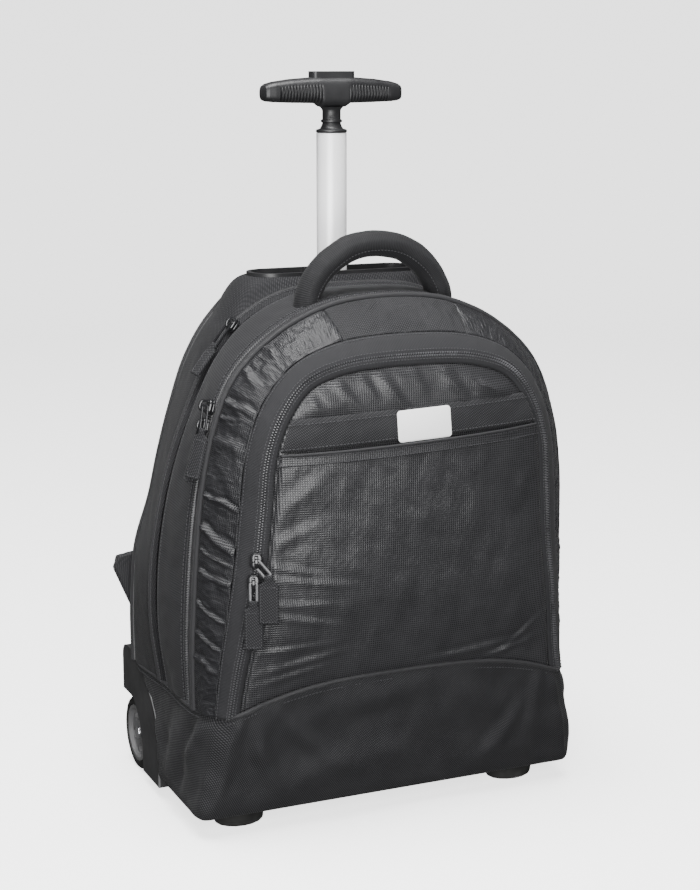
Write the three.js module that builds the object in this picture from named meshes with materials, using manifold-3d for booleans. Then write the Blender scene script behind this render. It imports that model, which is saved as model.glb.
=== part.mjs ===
// A backpack on two wheels, with a sliding T-handle. Millimetres, +Z up, the front faces -Y.
import * as THREE from "three";
import { mergeVertices } from "three/addons/utils/BufferGeometryUtils.js";
import Module from "manifold-3d";

const wasm = await Module();
wasm.setup();

// Driving sizes of the bag
const bagWidth = 374;
const bagHeight = 449;
const bootTop = 112;
const floorGap = 17;
const rearZipY = 12;
const rearCompartmentDepth = 80;
const mainCompartmentDepth = 72;
const frontPocketDepth = 45;
const pocketHeight = 293;
const faceBulge = 11;
const clothWall = 2.2;
const backPadding = 8;
const clearance = 0.3;
const gussetPuff = 4;
const pocketFootSetBack = 8;
const rightSlimming = 0.055;
const slimmestZ = 145;
const slimTopZ = 340;

// Zips and piping
const grooveHalfWidth = 7;
const tapeTuck = 3;
const mainTapeWidth = 14;
const mainTapeSink = 0.5;
const pocketTapeFaceWidth = 9;
const pocketTapeShare = 0.7;
const coilRadius = 1.7;
const pipingRadius = 2.6;
const pullHang = 0.03;

// Boot
const bootBottomHalfWidth = 179;
const bootFrontBottomY = -77;
const bootArchRise = 25;
const bootEdgeInset = 6;

// Front panels
const bandLowZ = 337;
const bandHeight = 24;
const bandSlope = 0.035;
const slipGap = 6.5;
const frontLayerGap = 0.9;
const labelWidth = 48;
const labelHeight = 26;
const labelThickness = 1.5;
const labelX = 6;
const labelCorner = 3;

// Carry handle
const carrySpan = 122;
const carryRise = 50;
const carryThickness = 22;
const carryDepth = 24;
const carryY = -32;

// Sliding handle
const trayLength = 158;
const trayDepth = 44;
const trayHeight = 9;
const trayRim = 4;
const trayRecess = 5;
const tubeY = 56.5;
const tubeWidth = 27;
const tubeDepth = 23;
const tubeWall = 1.2;
const tubeLength = 400;
const tubeShown = 118;
const sleeveWall = 1.5;
const sleeveFit = 0.8;
const neckLength = 22;
const neckRadius = 8.2;
const gripLength = 130;
const gripHeight = 25;
const gripDepth = 25;
const buttonWidth = 40;
const buttonDepth = 14;
const buttonShown = 5;
const buttonTravel = 3.5;

// Wheels, housings and feet
const wheelRadius = 34;
const wheelWidth = 24;
const wheelOuterX = 175;
const wheelSides = 20;
const axleBehindBack = 15;
const axleRadius = 4;
const hubRadius = 26;
const hubHoleRadius = 5;
const hubHoleCircle = 16;
const hubHoleDepth = 8;
const hubHoles = 5;
const housingInnerX = 124;
const housingOuterX = 179;
const wheelGap = 3.5;
const fenderGap = 1;
const housingDepth = 68;
const housingBehindBack = 37;
const housingShoulder = 20;
const housingShoulderDrop = 24;
const fenderCover = 8;
const notchReach = 20;
const footX = 131;
const footY = -43;
const footLength = 46;
const footDepth = 34;

// Shoulder straps
const strapWidth = 62;
const strapThickness = 12;
const webbingWidth = 25;
const webbingThickness = 2;
const wingReach = 195;
const wingThickness = 4;
const wingInset = 37;
const wingFootInset = 7;
const wingTopDrop = 4;
const wingCornerDrop = 10;
const wingCornerInset = 3;
const wingTipDrop = 20;

// Worked out from the sizes above
const halfWidth = bagWidth / 2;
const upperHeight = bagHeight - bootTop;
const backY = rearZipY + rearCompartmentDepth;
const mainZipY = rearZipY - mainCompartmentDepth;
const pocketZipY = mainZipY - frontPocketDepth;
const axleY = backY + axleBehindBack;
const trayTop = bagHeight + clearance + trayHeight;
const tubeTop = trayTop + tubeShown;
const gripBottom = tubeTop + 2 * clearance + neckLength;
const coilLift = coilRadius + 3 * clearance;
const bandHighZ = bandLowZ + bandHeight;
const stations = 32;

// The half outline of the cloth above the boot, from its rim to the top, in the plane of the
// back, of the rear zip and of the main zip. X is a share of the half width, Z of the height
// above the boot.
const bagOutline = [
  { backX: 0.973, backZ: 0.0, rearX: 0.95, rearZ: 0.0, mainX: 0.941, mainZ: 0.0 },
  { backX: 0.973, backZ: 0.157, rearX: 0.99, rearZ: 0.157, mainX: 0.941, mainZ: 0.142 },
  { backX: 0.947, backZ: 0.315, rearX: 0.99, rearZ: 0.291, mainX: 0.93, mainZ: 0.276 },
  { backX: 0.872, backZ: 0.448, rearX: 0.96, rearZ: 0.43, mainX: 0.914, mainZ: 0.409 },
  { backX: 0.824, backZ: 0.561, rearX: 0.898, rearZ: 0.573, mainX: 0.888, mainZ: 0.543 },
  { backX: 0.765, backZ: 0.677, rearX: 0.807, rearZ: 0.706, mainX: 0.834, mainZ: 0.685 },
  { backX: 0.679, backZ: 0.81, rearX: 0.684, rearZ: 0.84, mainX: 0.738, mainZ: 0.813 },
  { backX: 0.561, backZ: 0.911, rearX: 0.535, rearZ: 0.929, mainX: 0.561, mainZ: 0.908 },
  { backX: 0.385, backZ: 0.99, rearX: 0.321, rearZ: 0.985, mainX: 0.31, mainZ: 0.976 },
  { backX: 0.0, backZ: 1.0, rearX: 0.0, rearZ: 1.0, mainX: 0.0, mainZ: 0.997 },
];

// The half outline of the pocket's zip: X as above, Z a share of the pocket's own height.
const pocketOutline = [
  { pocketX: 0.845, pocketZ: 0.0 },
  { pocketX: 0.813, pocketZ: 0.147 },
  { pocketX: 0.775, pocketZ: 0.283 },
  { pocketX: 0.733, pocketZ: 0.427 },
  { pocketX: 0.703, pocketZ: 0.59 },
  { pocketX: 0.676, pocketZ: 0.744 },
  { pocketX: 0.604, pocketZ: 0.864 },
  { pocketX: 0.497, pocketZ: 0.945 },
  { pocketX: 0.321, pocketZ: 0.987 },
  { pocketX: 0.0, pocketZ: 1.0 },
];

// The boot's half plan from the front's middle round to the back's middle. X is a share of the
// half width above and of the bottom's half width below, Y a share of the depth on its side.
const bootPlan = [
  { topX: 0.0, topY: -0.952, bottomX: 0.0, bottomY: -1.0 },
  { topX: 0.4, topY: -0.952, bottomX: 0.45, bottomY: -1.0 },
  { topX: 0.69, topY: -0.948, bottomX: 0.82, bottomY: -0.995 },
  { topX: 0.822, topY: -0.93, bottomX: 0.972, bottomY: -0.97 },
  { topX: 0.885, topY: -0.77, bottomX: 0.998, bottomY: -0.84 },
  { topX: 0.935, topY: -0.57, bottomX: 1.0, bottomY: -0.6 },
  { topX: 0.944, topY: 0.1, bottomX: 1.0, bottomY: 0.1 },
  { topX: 0.965, topY: 0.85, bottomX: 1.0, bottomY: 0.85 },
  { topX: 0.93, topY: 0.995, bottomX: 0.95, bottomY: 0.995 },
  { topX: 0.5, topY: 1.0, bottomX: 0.5, bottomY: 1.0 },
  { topX: 0.0, topY: 1.0, bottomX: 0.0, bottomY: 1.0 },
];

// Puckers pressed into the front gusset: where along the arch, how long there, and how deep.
const gussetFolds = [
  { station: 0.1, length: 0.022, depth: 2.2 },
  { station: 0.17, length: 0.018, depth: 1.6 },
  { station: 0.24, length: 0.02, depth: 2.6 },
  { station: 0.31, length: 0.016, depth: 2.0 },
  { station: 0.37, length: 0.016, depth: 2.8 },
  { station: 0.43, length: 0.014, depth: 1.6 },
  { station: 0.6, length: 0.02, depth: 1.8 },
  { station: 0.7, length: 0.02, depth: 2.2 },
  { station: 0.83, length: 0.022, depth: 1.8 },
];

const cloth = { color: 0x1c1c1e, roughness: 0.8, metalness: 0 };
const shinyCloth = { color: 0x252527, roughness: 0.45, metalness: 0 };
const webbing = { color: 0x151516, roughness: 0.85, metalness: 0 };
const blackPlastic = { color: 0x131314, roughness: 0.5, metalness: 0 };
const blackMetal = { color: 0x1a1a1a, roughness: 0.3, metalness: 0.8 };
const aluminium = { color: 0xd6d7d9, roughness: 0.3, metalness: 1 };
const rubber = { color: 0x101010, roughness: 0.9, metalness: 0 };

const bag = new THREE.Group();

function add(name, geometry, look) {
  const mesh = new THREE.Mesh(geometry, new THREE.MeshStandardMaterial(look));
  mesh.name = name;
  mesh.geometry.computeVertexNormals();
  bag.add(mesh);
  return mesh;
}

// How much of the right side's slimming a height has: none at the foot and above the shoulder.
function slimming(z) {
  const rise = smooth(clamp01((z - floorGap) / (slimmestZ - floorGap)));
  return rise * (1 - smooth(clamp01((z - slimmestZ) / (slimTopZ - slimmestZ))));
}

// The filled bag hangs a little slimmer on its right side, between its foot and its shoulder.
function settle(geometry) {
  const place = geometry.getAttribute("position");
  for (let i = 0; i < place.count; i++) {
    const x = place.getX(i);
    if (x > 0) place.setX(i, x * (1 - rightSlimming * slimming(place.getZ(i))));
  }
  return geometry;
}

function addCloth(name, geometry, look) {
  return add(name, settle(geometry), look);
}

// A closed body from corner points and triangles, turned to face out.
function bodyFrom(points, triangles) {
  let volume = 0;
  const cross = new THREE.Vector3();
  for (const [a, b, c] of triangles) {
    volume += points[a].dot(cross.crossVectors(points[b], points[c]));
  }
  const facingOut = volume < 0 ? triangles.map(([a, b, c]) => [a, c, b]) : triangles;
  const geometry = new THREE.BufferGeometry().setFromPoints(points);
  geometry.setIndex(facingOut.flat());
  return geometry;
}

// A sheet with a thickness: two grids of points, outer and inner, closed round their edges.
function thickSheet(outer, inner) {
  const rows = outer.length;
  const columns = outer[0].length;
  const points = [...outer.flat(), ...inner.flat()];
  const at = (side, row, column) => (side * rows + row) * columns + column;
  const triangles = [];
  const quad = (a, b, c, d) => triangles.push([a, b, c], [a, c, d]);
  for (let i = 0; i < rows - 1; i++) {
    for (let j = 0; j < columns - 1; j++) {
      quad(at(0, i, j), at(0, i + 1, j), at(0, i + 1, j + 1), at(0, i, j + 1));
      quad(at(1, i, j), at(1, i, j + 1), at(1, i + 1, j + 1), at(1, i + 1, j));
    }
  }
  for (let i = 0; i < rows - 1; i++) {
    quad(at(0, i, 0), at(1, i, 0), at(1, i + 1, 0), at(0, i + 1, 0));
    const last = columns - 1;
    quad(at(0, i, last), at(0, i + 1, last), at(1, i + 1, last), at(1, i, last));
  }
  for (let j = 0; j < columns - 1; j++) {
    quad(at(0, 0, j), at(0, 0, j + 1), at(1, 0, j + 1), at(1, 0, j));
    const last = rows - 1;
    quad(at(0, last, j), at(1, last, j), at(1, last, j + 1), at(0, last, j + 1));
  }
  return bodyFrom(points, triangles);
}

// A body lofted through closed rings of equal counts, closed by a fan at each end.
function ringBody(rings) {
  const count = rings[0].length;
  const points = rings.flat();
  const triangles = [];
  for (let i = 0; i < rings.length - 1; i++) {
    for (let j = 0; j < count; j++) {
      const k = (j + 1) % count;
      triangles.push([i * count + j, (i + 1) * count + j, (i + 1) * count + k]);
      triangles.push([i * count + j, (i + 1) * count + k, i * count + k]);
    }
  }
  const centreOf = (ring) =>
    ring.reduce((sum, p) => sum.add(p), new THREE.Vector3()).divideScalar(count);
  const first = points.push(centreOf(rings[0])) - 1;
  const last = points.push(centreOf(rings[rings.length - 1])) - 1;
  const lastRing = (rings.length - 1) * count;
  for (let j = 0; j < count; j++) {
    const k = (j + 1) % count;
    triangles.push([first, j, k]);
    triangles.push([last, lastRing + k, lastRing + j]);
  }
  return bodyFrom(points, triangles);
}

function solidOf(geometry) {
  const plain = new THREE.BufferGeometry();
  plain.setAttribute("position", geometry.getAttribute("position"));
  plain.setIndex(geometry.index);
  const merged = mergeVertices(plain, 1e-4);
  return new wasm.Manifold(
    new wasm.Mesh({
      numProp: 3,
      vertProperties: new Float32Array(merged.getAttribute("position").array),
      triVerts: new Uint32Array(merged.index.array),
    }),
  );
}

function geometryOf(solid) {
  const mesh = solid.getMesh();
  const geometry = new THREE.BufferGeometry();
  const places = new Float32Array(mesh.numVert * 3);
  for (let i = 0; i < mesh.numVert; i++) {
    places.set(mesh.vertProperties.subarray(i * mesh.numProp, i * mesh.numProp + 3), i * 3);
  }
  geometry.setAttribute("position", new THREE.BufferAttribute(places, 3));
  geometry.setIndex(new THREE.BufferAttribute(new Uint32Array(mesh.triVerts), 1));
  return geometry;
}

const cut = (geometry, ...tools) =>
  geometryOf(tools.reduce((body, tool) => body.subtract(solidOf(tool)), solidOf(geometry)));
const join = (geometry, ...others) =>
  geometryOf(others.reduce((body, other) => body.add(solidOf(other)), solidOf(geometry)));

function ellipseShape(width, height) {
  return new THREE.Shape().absellipse(0, 0, width / 2, height / 2, 0, 2 * Math.PI);
}

function roundedShape(width, height, radius) {
  const x = width / 2;
  const y = height / 2;
  const shape = new THREE.Shape();
  shape.moveTo(x, y - radius);
  shape.absarc(x - radius, y - radius, radius, 0, Math.PI / 2);
  shape.absarc(radius - x, y - radius, radius, Math.PI / 2, Math.PI);
  shape.absarc(radius - x, radius - y, radius, Math.PI, 1.5 * Math.PI);
  shape.absarc(x - radius, radius - y, radius, 1.5 * Math.PI, 2 * Math.PI);
  shape.closePath();
  return shape;
}

function extrude(shape, depth, curveSegments = 6) {
  return new THREE.ExtrudeGeometry(shape, { depth, bevelEnabled: false, curveSegments });
}

function tubeAlong(curve, radius, steps, sides) {
  const section = new THREE.Shape(
    Array.from({ length: sides }, (_, i) => {
      const angle = (2 * Math.PI * i) / sides;
      return new THREE.Vector2(radius * Math.cos(angle), radius * Math.sin(angle));
    }),
  );
  return new THREE.ExtrudeGeometry(section, { steps, extrudePath: curve, bevelEnabled: false });
}

// One plane of an outline as a curve from the left foot of the arch over the top to the right.
function archCurve(outline, plane, height) {
  const half = outline.map((row) => [row[plane + "X"] * halfWidth, bootTop + row[plane + "Z"] * height]);
  const left = half.map(([x, z]) => new THREE.Vector3(-x, 0, z));
  const right = half.slice(0, -1).reverse().map(([x, z]) => new THREE.Vector3(x, 0, z));
  return new THREE.CatmullRomCurve3([...left, ...right], false, "centripetal");
}

const arches = {
  back: archCurve(bagOutline, "back", upperHeight),
  rear: archCurve(bagOutline, "rear", upperHeight),
  main: archCurve(bagOutline, "main", upperHeight),
  pocket: archCurve(pocketOutline, "pocket", pocketHeight),
};

const smooth = (t) => t * t * (3 - 2 * t);
const clamp01 = (t) => Math.min(1, Math.max(0, t));

// The depth of the pocket's zip, which is set back near the boot.
function pocketPlaneY(z) {
  return pocketZipY + pocketFootSetBack * (1 - smooth(clamp01((3 * (z - bootTop)) / pocketHeight)));
}

function archPoint(plane, s) {
  const p = arches[plane].getPoint(s);
  const depths = { back: backY, rear: rearZipY, main: mainZipY, pocket: pocketPlaneY(p.z) };
  return p.setY(depths[plane]);
}

// The direction into the bag, in the plane of an arch.
function archInward(plane, s) {
  const t = arches[plane].getTangent(s);
  return new THREE.Vector3(t.z, 0, -t.x).normalize();
}

// A point of the cloth at the depth y between two planes, sunk into the bag by sink.
function clothPoint(from, to, y, s, sink = 0) {
  const a = archPoint(from, s);
  const b = archPoint(to, s);
  const share = (y - a.y) / (b.y - a.y);
  const inward = archInward(from, s).lerp(archInward(to, s), share).normalize();
  return a.lerp(b, share).addScaledVector(inward, sink);
}

function archRows(rows) {
  return Array.from({ length: stations + 1 }, (_, i) => rows(i / stations));
}

// A strip of cloth across the arch between two planes, at the depths given.
function gussetStrip(from, to, depths, sink, wall) {
  const outer = archRows((s) => depths.map((y) => clothPoint(from, to, y, s, sink)));
  const inner = archRows((s) => depths.map((y) => clothPoint(from, to, y, s, sink + wall)));
  return thickSheet(outer, inner);
}

const spread = (a, b, count) => Array.from({ length: count }, (_, i) => a + ((b - a) * i) / (count - 1));

function foldDepth(s) {
  return gussetFolds.reduce(
    (sum, fold) => sum + fold.depth * Math.exp(-(((s - fold.station) / fold.length) ** 2)),
    0,
  );
}

// The front gusset's skin: u is 0 at the main zip's piping and 1 at the pocket's zip.
function frontSkin(s, u) {
  const a = archPoint("main", s);
  a.y -= pipingRadius + clearance;
  const b = archPoint("pocket", s);
  const outward = archInward("main", s).multiplyScalar(-1);
  const swell = 4 * u * (1 - u);
  return a.lerp(b, u).addScaledVector(outward, swell * (gussetPuff - foldDepth(s)));
}

function frontInward(s, u) {
  const step = 0.004;
  const low = Math.max(0, s - step);
  const high = Math.min(1, s + step);
  const along = frontSkin(high, u).sub(frontSkin(low, u));
  const across = frontSkin(s, Math.min(1, u + step)).sub(frontSkin(s, Math.max(0, u - step)));
  const inward = new THREE.Vector3().crossVectors(across, along).normalize();
  const towards = archInward("main", s).setY(1);
  return inward.dot(towards) < 0 ? inward.multiplyScalar(-1) : inward;
}

// The height of the boot's rim, which arches over the front.
function rimHeight(x) {
  const reach = pocketOutline[0].pocketX * halfWidth;
  return bootTop + bootArchRise * (1 - Math.min(1, Math.abs(x / reach)) ** 3.2);
}

// A point of the front cloth, kept above the boot's rim.
const seated = (p) => p.setZ(Math.max(p.z, rimHeight(p.x) + clearance));

function pocketHalfWidth(z) {
  const share = clamp01((z - bootTop) / pocketHeight);
  let low = 0;
  let high = 0.5;
  for (let i = 0; i < 24; i++) {
    const middle = (low + high) / 2;
    if (arches.pocket.getPoint(middle).z < bootTop + share * pocketHeight) low = middle;
    else high = middle;
  }
  return Math.abs(arches.pocket.getPoint(low).x);
}

// How far the pocket's face stands out at a place on the front.
function faceY(x, z) {
  const side = clamp01(Math.abs(x) / Math.max(1, pocketHalfWidth(z)));
  const height = clamp01((z - bootTop) / pocketHeight);
  const swell = (1 - side ** 3) * (1 - Math.abs(2 * height - 1) ** 3);
  return pocketPlaneY(z) - faceBulge * swell;
}

// The bag's whole volume above the boot, grown by a margin, to seat pieces on.
function bagVolume(grow) {
  const ring = (plane) =>
    archRows((s) => archPoint(plane, s).addScaledVector(archInward(plane, s), -grow));
  const rings = ["back", "rear", "main"].map(ring);
  const front = archRows((s) => frontSkin(s, 0.5).addScaledVector(frontInward(s, 0.5), -grow));
  return ringBody([rings[0].map((p) => p.clone().setY(backY + grow)), rings[1], rings[2], front]);
}

function makeRearCompartment() {
  const panelRing = (y, inset) =>
    archRows((s) => archPoint("back", s).addScaledVector(archInward("back", s), inset).setY(y));
  const panel = ringBody([
    panelRing(backY - backPadding, 0),
    panelRing(backY - backPadding / 3, 0),
    panelRing(backY, backPadding / 2),
  ]);
  addCloth("back_panel", panel, cloth);

  const grooveBack = rearZipY + grooveHalfWidth;
  const depths = [backY - backPadding - clearance, grooveBack];
  const gusset = gussetStrip("back", "rear", depths, 0, clothWall);
  addCloth("rear_gusset", cut(gusset, tubePassage(bagHeight - 20, bagHeight + 20)), cloth);

  const tapeSink = clothWall + clearance;
  const tapeDepths = spread(grooveBack + tapeTuck, rearZipY - grooveHalfWidth - tapeTuck, 3);
  const tapeGrid = (sink) =>
    archRows((s) =>
      tapeDepths.map((y) =>
        y > rearZipY ? clothPoint("back", "rear", y, s, sink) : clothPoint("rear", "main", y, s, sink),
      ),
    );
  addCloth("rear_zip_tape", thickSheet(tapeGrid(tapeSink), tapeGrid(tapeSink + clothWall)), webbing);
  const coilPlace = (s) => clothPoint("rear", "main", rearZipY, s, tapeSink - coilLift);
  addCloth("rear_zip_coil", coilOn(coilPlace), webbing);
  const pipingY = grooveBack + pipingRadius;
  const pipingOut = -pipingRadius - 3 * clearance;
  addCloth("rear_piping", pipingOn((s) => clothPoint("back", "rear", pipingY, s, pipingOut)), cloth);
}

function makeMainCompartment() {
  const tapeBack = mainZipY + pipingRadius + clearance + mainTapeWidth;
  const depths = [rearZipY - grooveHalfWidth, tapeBack + clearance];
  addCloth("main_gusset", gussetStrip("rear", "main", depths, 0, clothWall), cloth);
  const tapeDepths = [tapeBack, mainZipY + pipingRadius + clearance];
  addCloth("main_zip_tape", gussetStrip("rear", "main", tapeDepths, mainTapeSink, clothWall), webbing);
  const coilY = mainZipY + pipingRadius + clearance + mainTapeWidth / 2;
  const coilOut = mainTapeSink - coilLift;
  addCloth("main_zip_coil", coilOn((s) => clothPoint("rear", "main", coilY, s, coilOut)), webbing);
  addCloth("main_piping", pipingOn((s) => clothPoint("rear", "main", mainZipY, s, clothWall / 2)), cloth);
}

function coilOn(place) {
  const curve = new THREE.CatmullRomCurve3(archRows(place), false, "centripetal");
  return tubeAlong(curve, coilRadius, stations, 4);
}

function pipingOn(place) {
  const curve = new THREE.CatmullRomCurve3(archRows(place), false, "centripetal");
  return tubeAlong(curve, pipingRadius, stations, 5);
}

function makeFrontPocket() {
  const shares = [0, 0.25, 0.5, pocketTapeShare];
  const outer = archRows((s) => shares.map((u) => seated(frontSkin(s, u))));
  const inner = archRows((s) =>
    shares.map((u) => {
      const direction = u === 0 ? archInward("main", s) : frontInward(s, u);
      return seated(frontSkin(s, u).addScaledVector(direction, clothWall));
    }),
  );
  addCloth("front_gusset", thickSheet(outer, inner), shinyCloth);

  const tapeStart = pocketTapeShare + 0.01;
  const tapePoint = (s, share) => {
    if (share <= 1) return seated(frontSkin(s, tapeStart + (1 - tapeStart) * share));
    const inset = (share - 1) * pocketTapeFaceWidth;
    const p = archPoint("pocket", s).addScaledVector(archInward("pocket", s), inset);
    return seated(p.setY(faceY(p.x, p.z)));
  };
  const tapeInward = (s, share) => {
    if (share < 1) return frontInward(s, tapeStart);
    if (share > 1) return new THREE.Vector3(0, 1, 0);
    return archInward("pocket", s).setY(1).normalize();
  };
  const tapeShares = [0, 0.5, 1, 1.5, 2];
  const tapeOuter = archRows((s) => tapeShares.map((share) => tapePoint(s, share)));
  const tapeInner = archRows((s) =>
    tapeShares.map((share) => seated(tapePoint(s, share).addScaledVector(tapeInward(s, share), clothWall))),
  );
  addCloth("pocket_zip_tape", thickSheet(tapeOuter, tapeInner), webbing);
  const coilPlace = (s) => tapePoint(s, 1).addScaledVector(tapeInward(s, 1), -coilLift);
  addCloth("pocket_zip_coil", coilOn(coilPlace), webbing);

  addCloth("pocket_panel", makePocketPanel(), shinyCloth);
  addCloth("slip_pocket", makeSlipPocket(), shinyCloth);
  addCloth("pocket_band", makeBand(), cloth);
}

// The edge of the pocket's face: up and over along the tape, and back along the boot's rim.
function faceEdge() {
  const inset = pocketTapeFaceWidth + clearance;
  const over = archRows((s) => archPoint("pocket", s).addScaledVector(archInward("pocket", s), inset));
  const reach = over[over.length - 1].x;
  const across = spread(reach, -reach, 12).slice(1, -1).map((x) => new THREE.Vector3(x, 0, 0));
  return [...over, ...across].map(seated);
}

function makePocketPanel() {
  const edge = faceEdge();
  const middle = new THREE.Vector3(0, 0, bootTop + 0.47 * pocketHeight);
  const ring = (share, behind) =>
    edge.map((p) => {
      const q = middle.clone().lerp(p, share);
      return q.setY(faceY(q.x, q.z) + behind);
    });
  const shares = [0.35, 0.62, 0.84, 1];
  const front = shares.map((share) => ring(share, 0));
  const back = shares.map((share) => ring(share, clothWall)).reverse();
  return ringBody([...front, ...back]);
}

function sheetOnFace(lowZ, highZ, halfReach, lift, columns, rows) {
  const place = (i, j, behind) => {
    const across = (2 * i) / columns - 1;
    const middleX = across * halfReach((lowZ(0) + highZ(0)) / 2);
    const low = lowZ(middleX);
    const z = low + ((highZ(middleX) - low) * j) / rows;
    const x = across * halfReach(z);
    return new THREE.Vector3(x, faceY(x, z) - lift(x, z) + behind, z);
  };
  const grid = (behind) =>
    Array.from({ length: columns + 1 }, (_, i) =>
      Array.from({ length: rows + 1 }, (_, j) => place(i, j, behind)),
    );
  return thickSheet(grid(0), grid(clothWall));
}

const faceReach = (z) => pocketHalfWidth(z) - pocketTapeFaceWidth - 2;
const bandEdge = (z) => (x) => z + bandSlope * x;

function makeSlipPocket() {
  const mouth = bandEdge(bandLowZ - 2);
  const lift = (x, z) => {
    const height = clamp01((z - bootTop) / (bandLowZ - bootTop));
    return clothWall + frontLayerGap + slipGap * smooth(height) * (1 - (x / faceReach(z)) ** 2);
  };
  const low = (x) => rimHeight(x) + clearance;
  return sheetOnFace(low, mouth, faceReach, lift, 14, 6);
}

function makeBand() {
  const lift = () => clothWall + frontLayerGap;
  return sheetOnFace(bandEdge(bandLowZ), bandEdge(bandHighZ), faceReach, lift, 12, 2);
}

function makeLabel() {
  const z = (bandLowZ + bandHighZ) / 2;
  const lift = clothWall + frontLayerGap + clearance;
  const tilt = Math.atan2(faceY(labelX, z + 9) - faceY(labelX, z - 9), 18);
  const plate = extrude(roundedShape(labelWidth, labelHeight, labelCorner), labelThickness, 2);
  plate.rotateX(Math.PI / 2 - tilt);
  plate.rotateY(-bandSlope);
  plate.translate(labelX, faceY(labelX, z) - lift, z);
  add("label_plate", plate, aluminium);
}

// The boot's plan at a height share, from 0 at the bottom to 1 at the rim's lowest line.
function bootRing(level, inset, lift) {
  const half = bootPlan.map((row) => {
    const depthTop = row.topY < 0 ? -pocketZipY : backY;
    const depthBottom = row.bottomY < 0 ? -bootFrontBottomY : backY;
    const top = new THREE.Vector3(row.topX * halfWidth, row.topY * depthTop, 0);
    const bottom = new THREE.Vector3(row.bottomX * bootBottomHalfWidth, row.bottomY * depthBottom, 0);
    return { top, bottom };
  });
  const mirrored = (p) => new THREE.Vector3(-p.x, p.y, 0);
  const loopOf = (key) => {
    const right = half.map((p) => p[key]);
    const left = half.slice(1, -1).reverse().map((p) => mirrored(p[key]));
    return new THREE.CatmullRomCurve3([...right, ...left], true, "centripetal");
  };
  const topLoop = loopOf("top");
  const bottomLoop = loopOf("bottom");
  const count = 44;
  return Array.from({ length: count }, (_, i) => {
    const t = i / count;
    const topPoint = topLoop.getPoint(t);
    const rim = topPoint.y < 0 ? rimHeight(topPoint.x) : bootTop;
    const z = floorGap + (rim - floorGap) * level;
    const share = (z - floorGap) / (bootTop - floorGap);
    const p = bottomLoop.getPoint(t).lerp(topPoint, share);
    const tangent = topLoop.getTangent(t).lerp(bottomLoop.getTangent(t), 0.5);
    const inward = new THREE.Vector3(-tangent.y, tangent.x, 0).normalize();
    return p.addScaledVector(inward, inset).setZ(z + lift);
  });
}

function makeBoot() {
  const levels = [0.06, 0.5, 1];
  const outer = levels.map((level) => bootRing(level, 0, level === 1 ? -clearance : 0));
  const inner = levels.map((level) => bootRing(level, clothWall, level === 1 ? -clearance : 0));
  const floorBelow = bootRing(0, bootEdgeInset, 0);
  const floorAbove = bootRing(0, bootEdgeInset + clothWall, clothWall);
  const shrink = (ring, share) => ring.map((p) => new THREE.Vector3(p.x * share, p.y * share, p.z));
  const outside = [shrink(floorBelow, 0.5), floorBelow, ...outer];
  const inside = [...inner.reverse(), floorAbove, shrink(floorAbove, 0.5)];
  const tub = settle(ringBody([...outside, ...inside]));
  const notches = [-1, 1].map((side) => housingBlock(side, clearance));
  add("base_boot", cut(tub, ...notches), cloth);
}

// The housing's side outline (depth, height) round the wheel's well, grown by a margin.
function housingOutline(grow) {
  const well = wheelRadius + wheelGap;
  const front = backY - housingDepth;
  const back = backY + housingBehindBack;
  return new THREE.Shape([
    new THREE.Vector2(front + 4 - grow, 10 - grow),
    new THREE.Vector2(front - grow, 56),
    new THREE.Vector2(front + housingShoulder - grow, bootTop - housingShoulderDrop + grow),
    new THREE.Vector2(backY - 8, bootTop - 2 * clearance + grow),
    new THREE.Vector2(backY + 1, bootTop - 2 * clearance + grow),
    new THREE.Vector2(backY + 3, bootTop + 4 + grow),
    new THREE.Vector2(back - 11 + grow, bootTop + 4 + grow),
    new THREE.Vector2(back - 5 + grow, bootTop + 2 + grow),
    new THREE.Vector2(back - 1 + grow, bootTop - 3 + grow),
    new THREE.Vector2(back + grow, bootTop - 10),
    new THREE.Vector2(back + grow, wheelRadius + well),
    new THREE.Vector2(axleY, wheelRadius + well),
    ...spread(Math.PI / 2, Math.PI, 8).slice(1).map(
      (angle) => new THREE.Vector2(axleY + well * Math.cos(angle), wheelRadius + well * Math.sin(angle)),
    ),
    new THREE.Vector2(axleY - well, 10 - grow),
  ]);
}

// A plate with a side outline, between two distances from the middle on one side of the bag.
function sidePlate(shape, side, nearX, farX) {
  const plate = extrude(shape, farX - nearX, 8);
  plate.applyMatrix4(
    new THREE.Matrix4().makeBasis(
      new THREE.Vector3(0, 1, 0),
      new THREE.Vector3(0, 0, 1),
      new THREE.Vector3(1, 0, 0),
    ),
  );
  plate.translate(side > 0 ? nearX : -farX, 0, 0);
  return plate;
}

// The space the housing and the wheel take out of the boot.
function housingBlock(side, grow) {
  const block = sidePlate(housingOutline(grow), side, housingInnerX - grow, housingOuterX + notchReach);
  const wheelSpace = new THREE.BoxGeometry(
    housingOuterX + notchReach - housingInnerX + grow,
    2 * wheelRadius + 10,
    2 * wheelRadius + wheelGap,
  );
  wheelSpace.translate(
    side * ((housingInnerX - grow + housingOuterX + notchReach) / 2),
    axleY - wheelGap + 5,
    wheelRadius + wheelGap / 2,
  );
  return join(block, wheelSpace);
}

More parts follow.
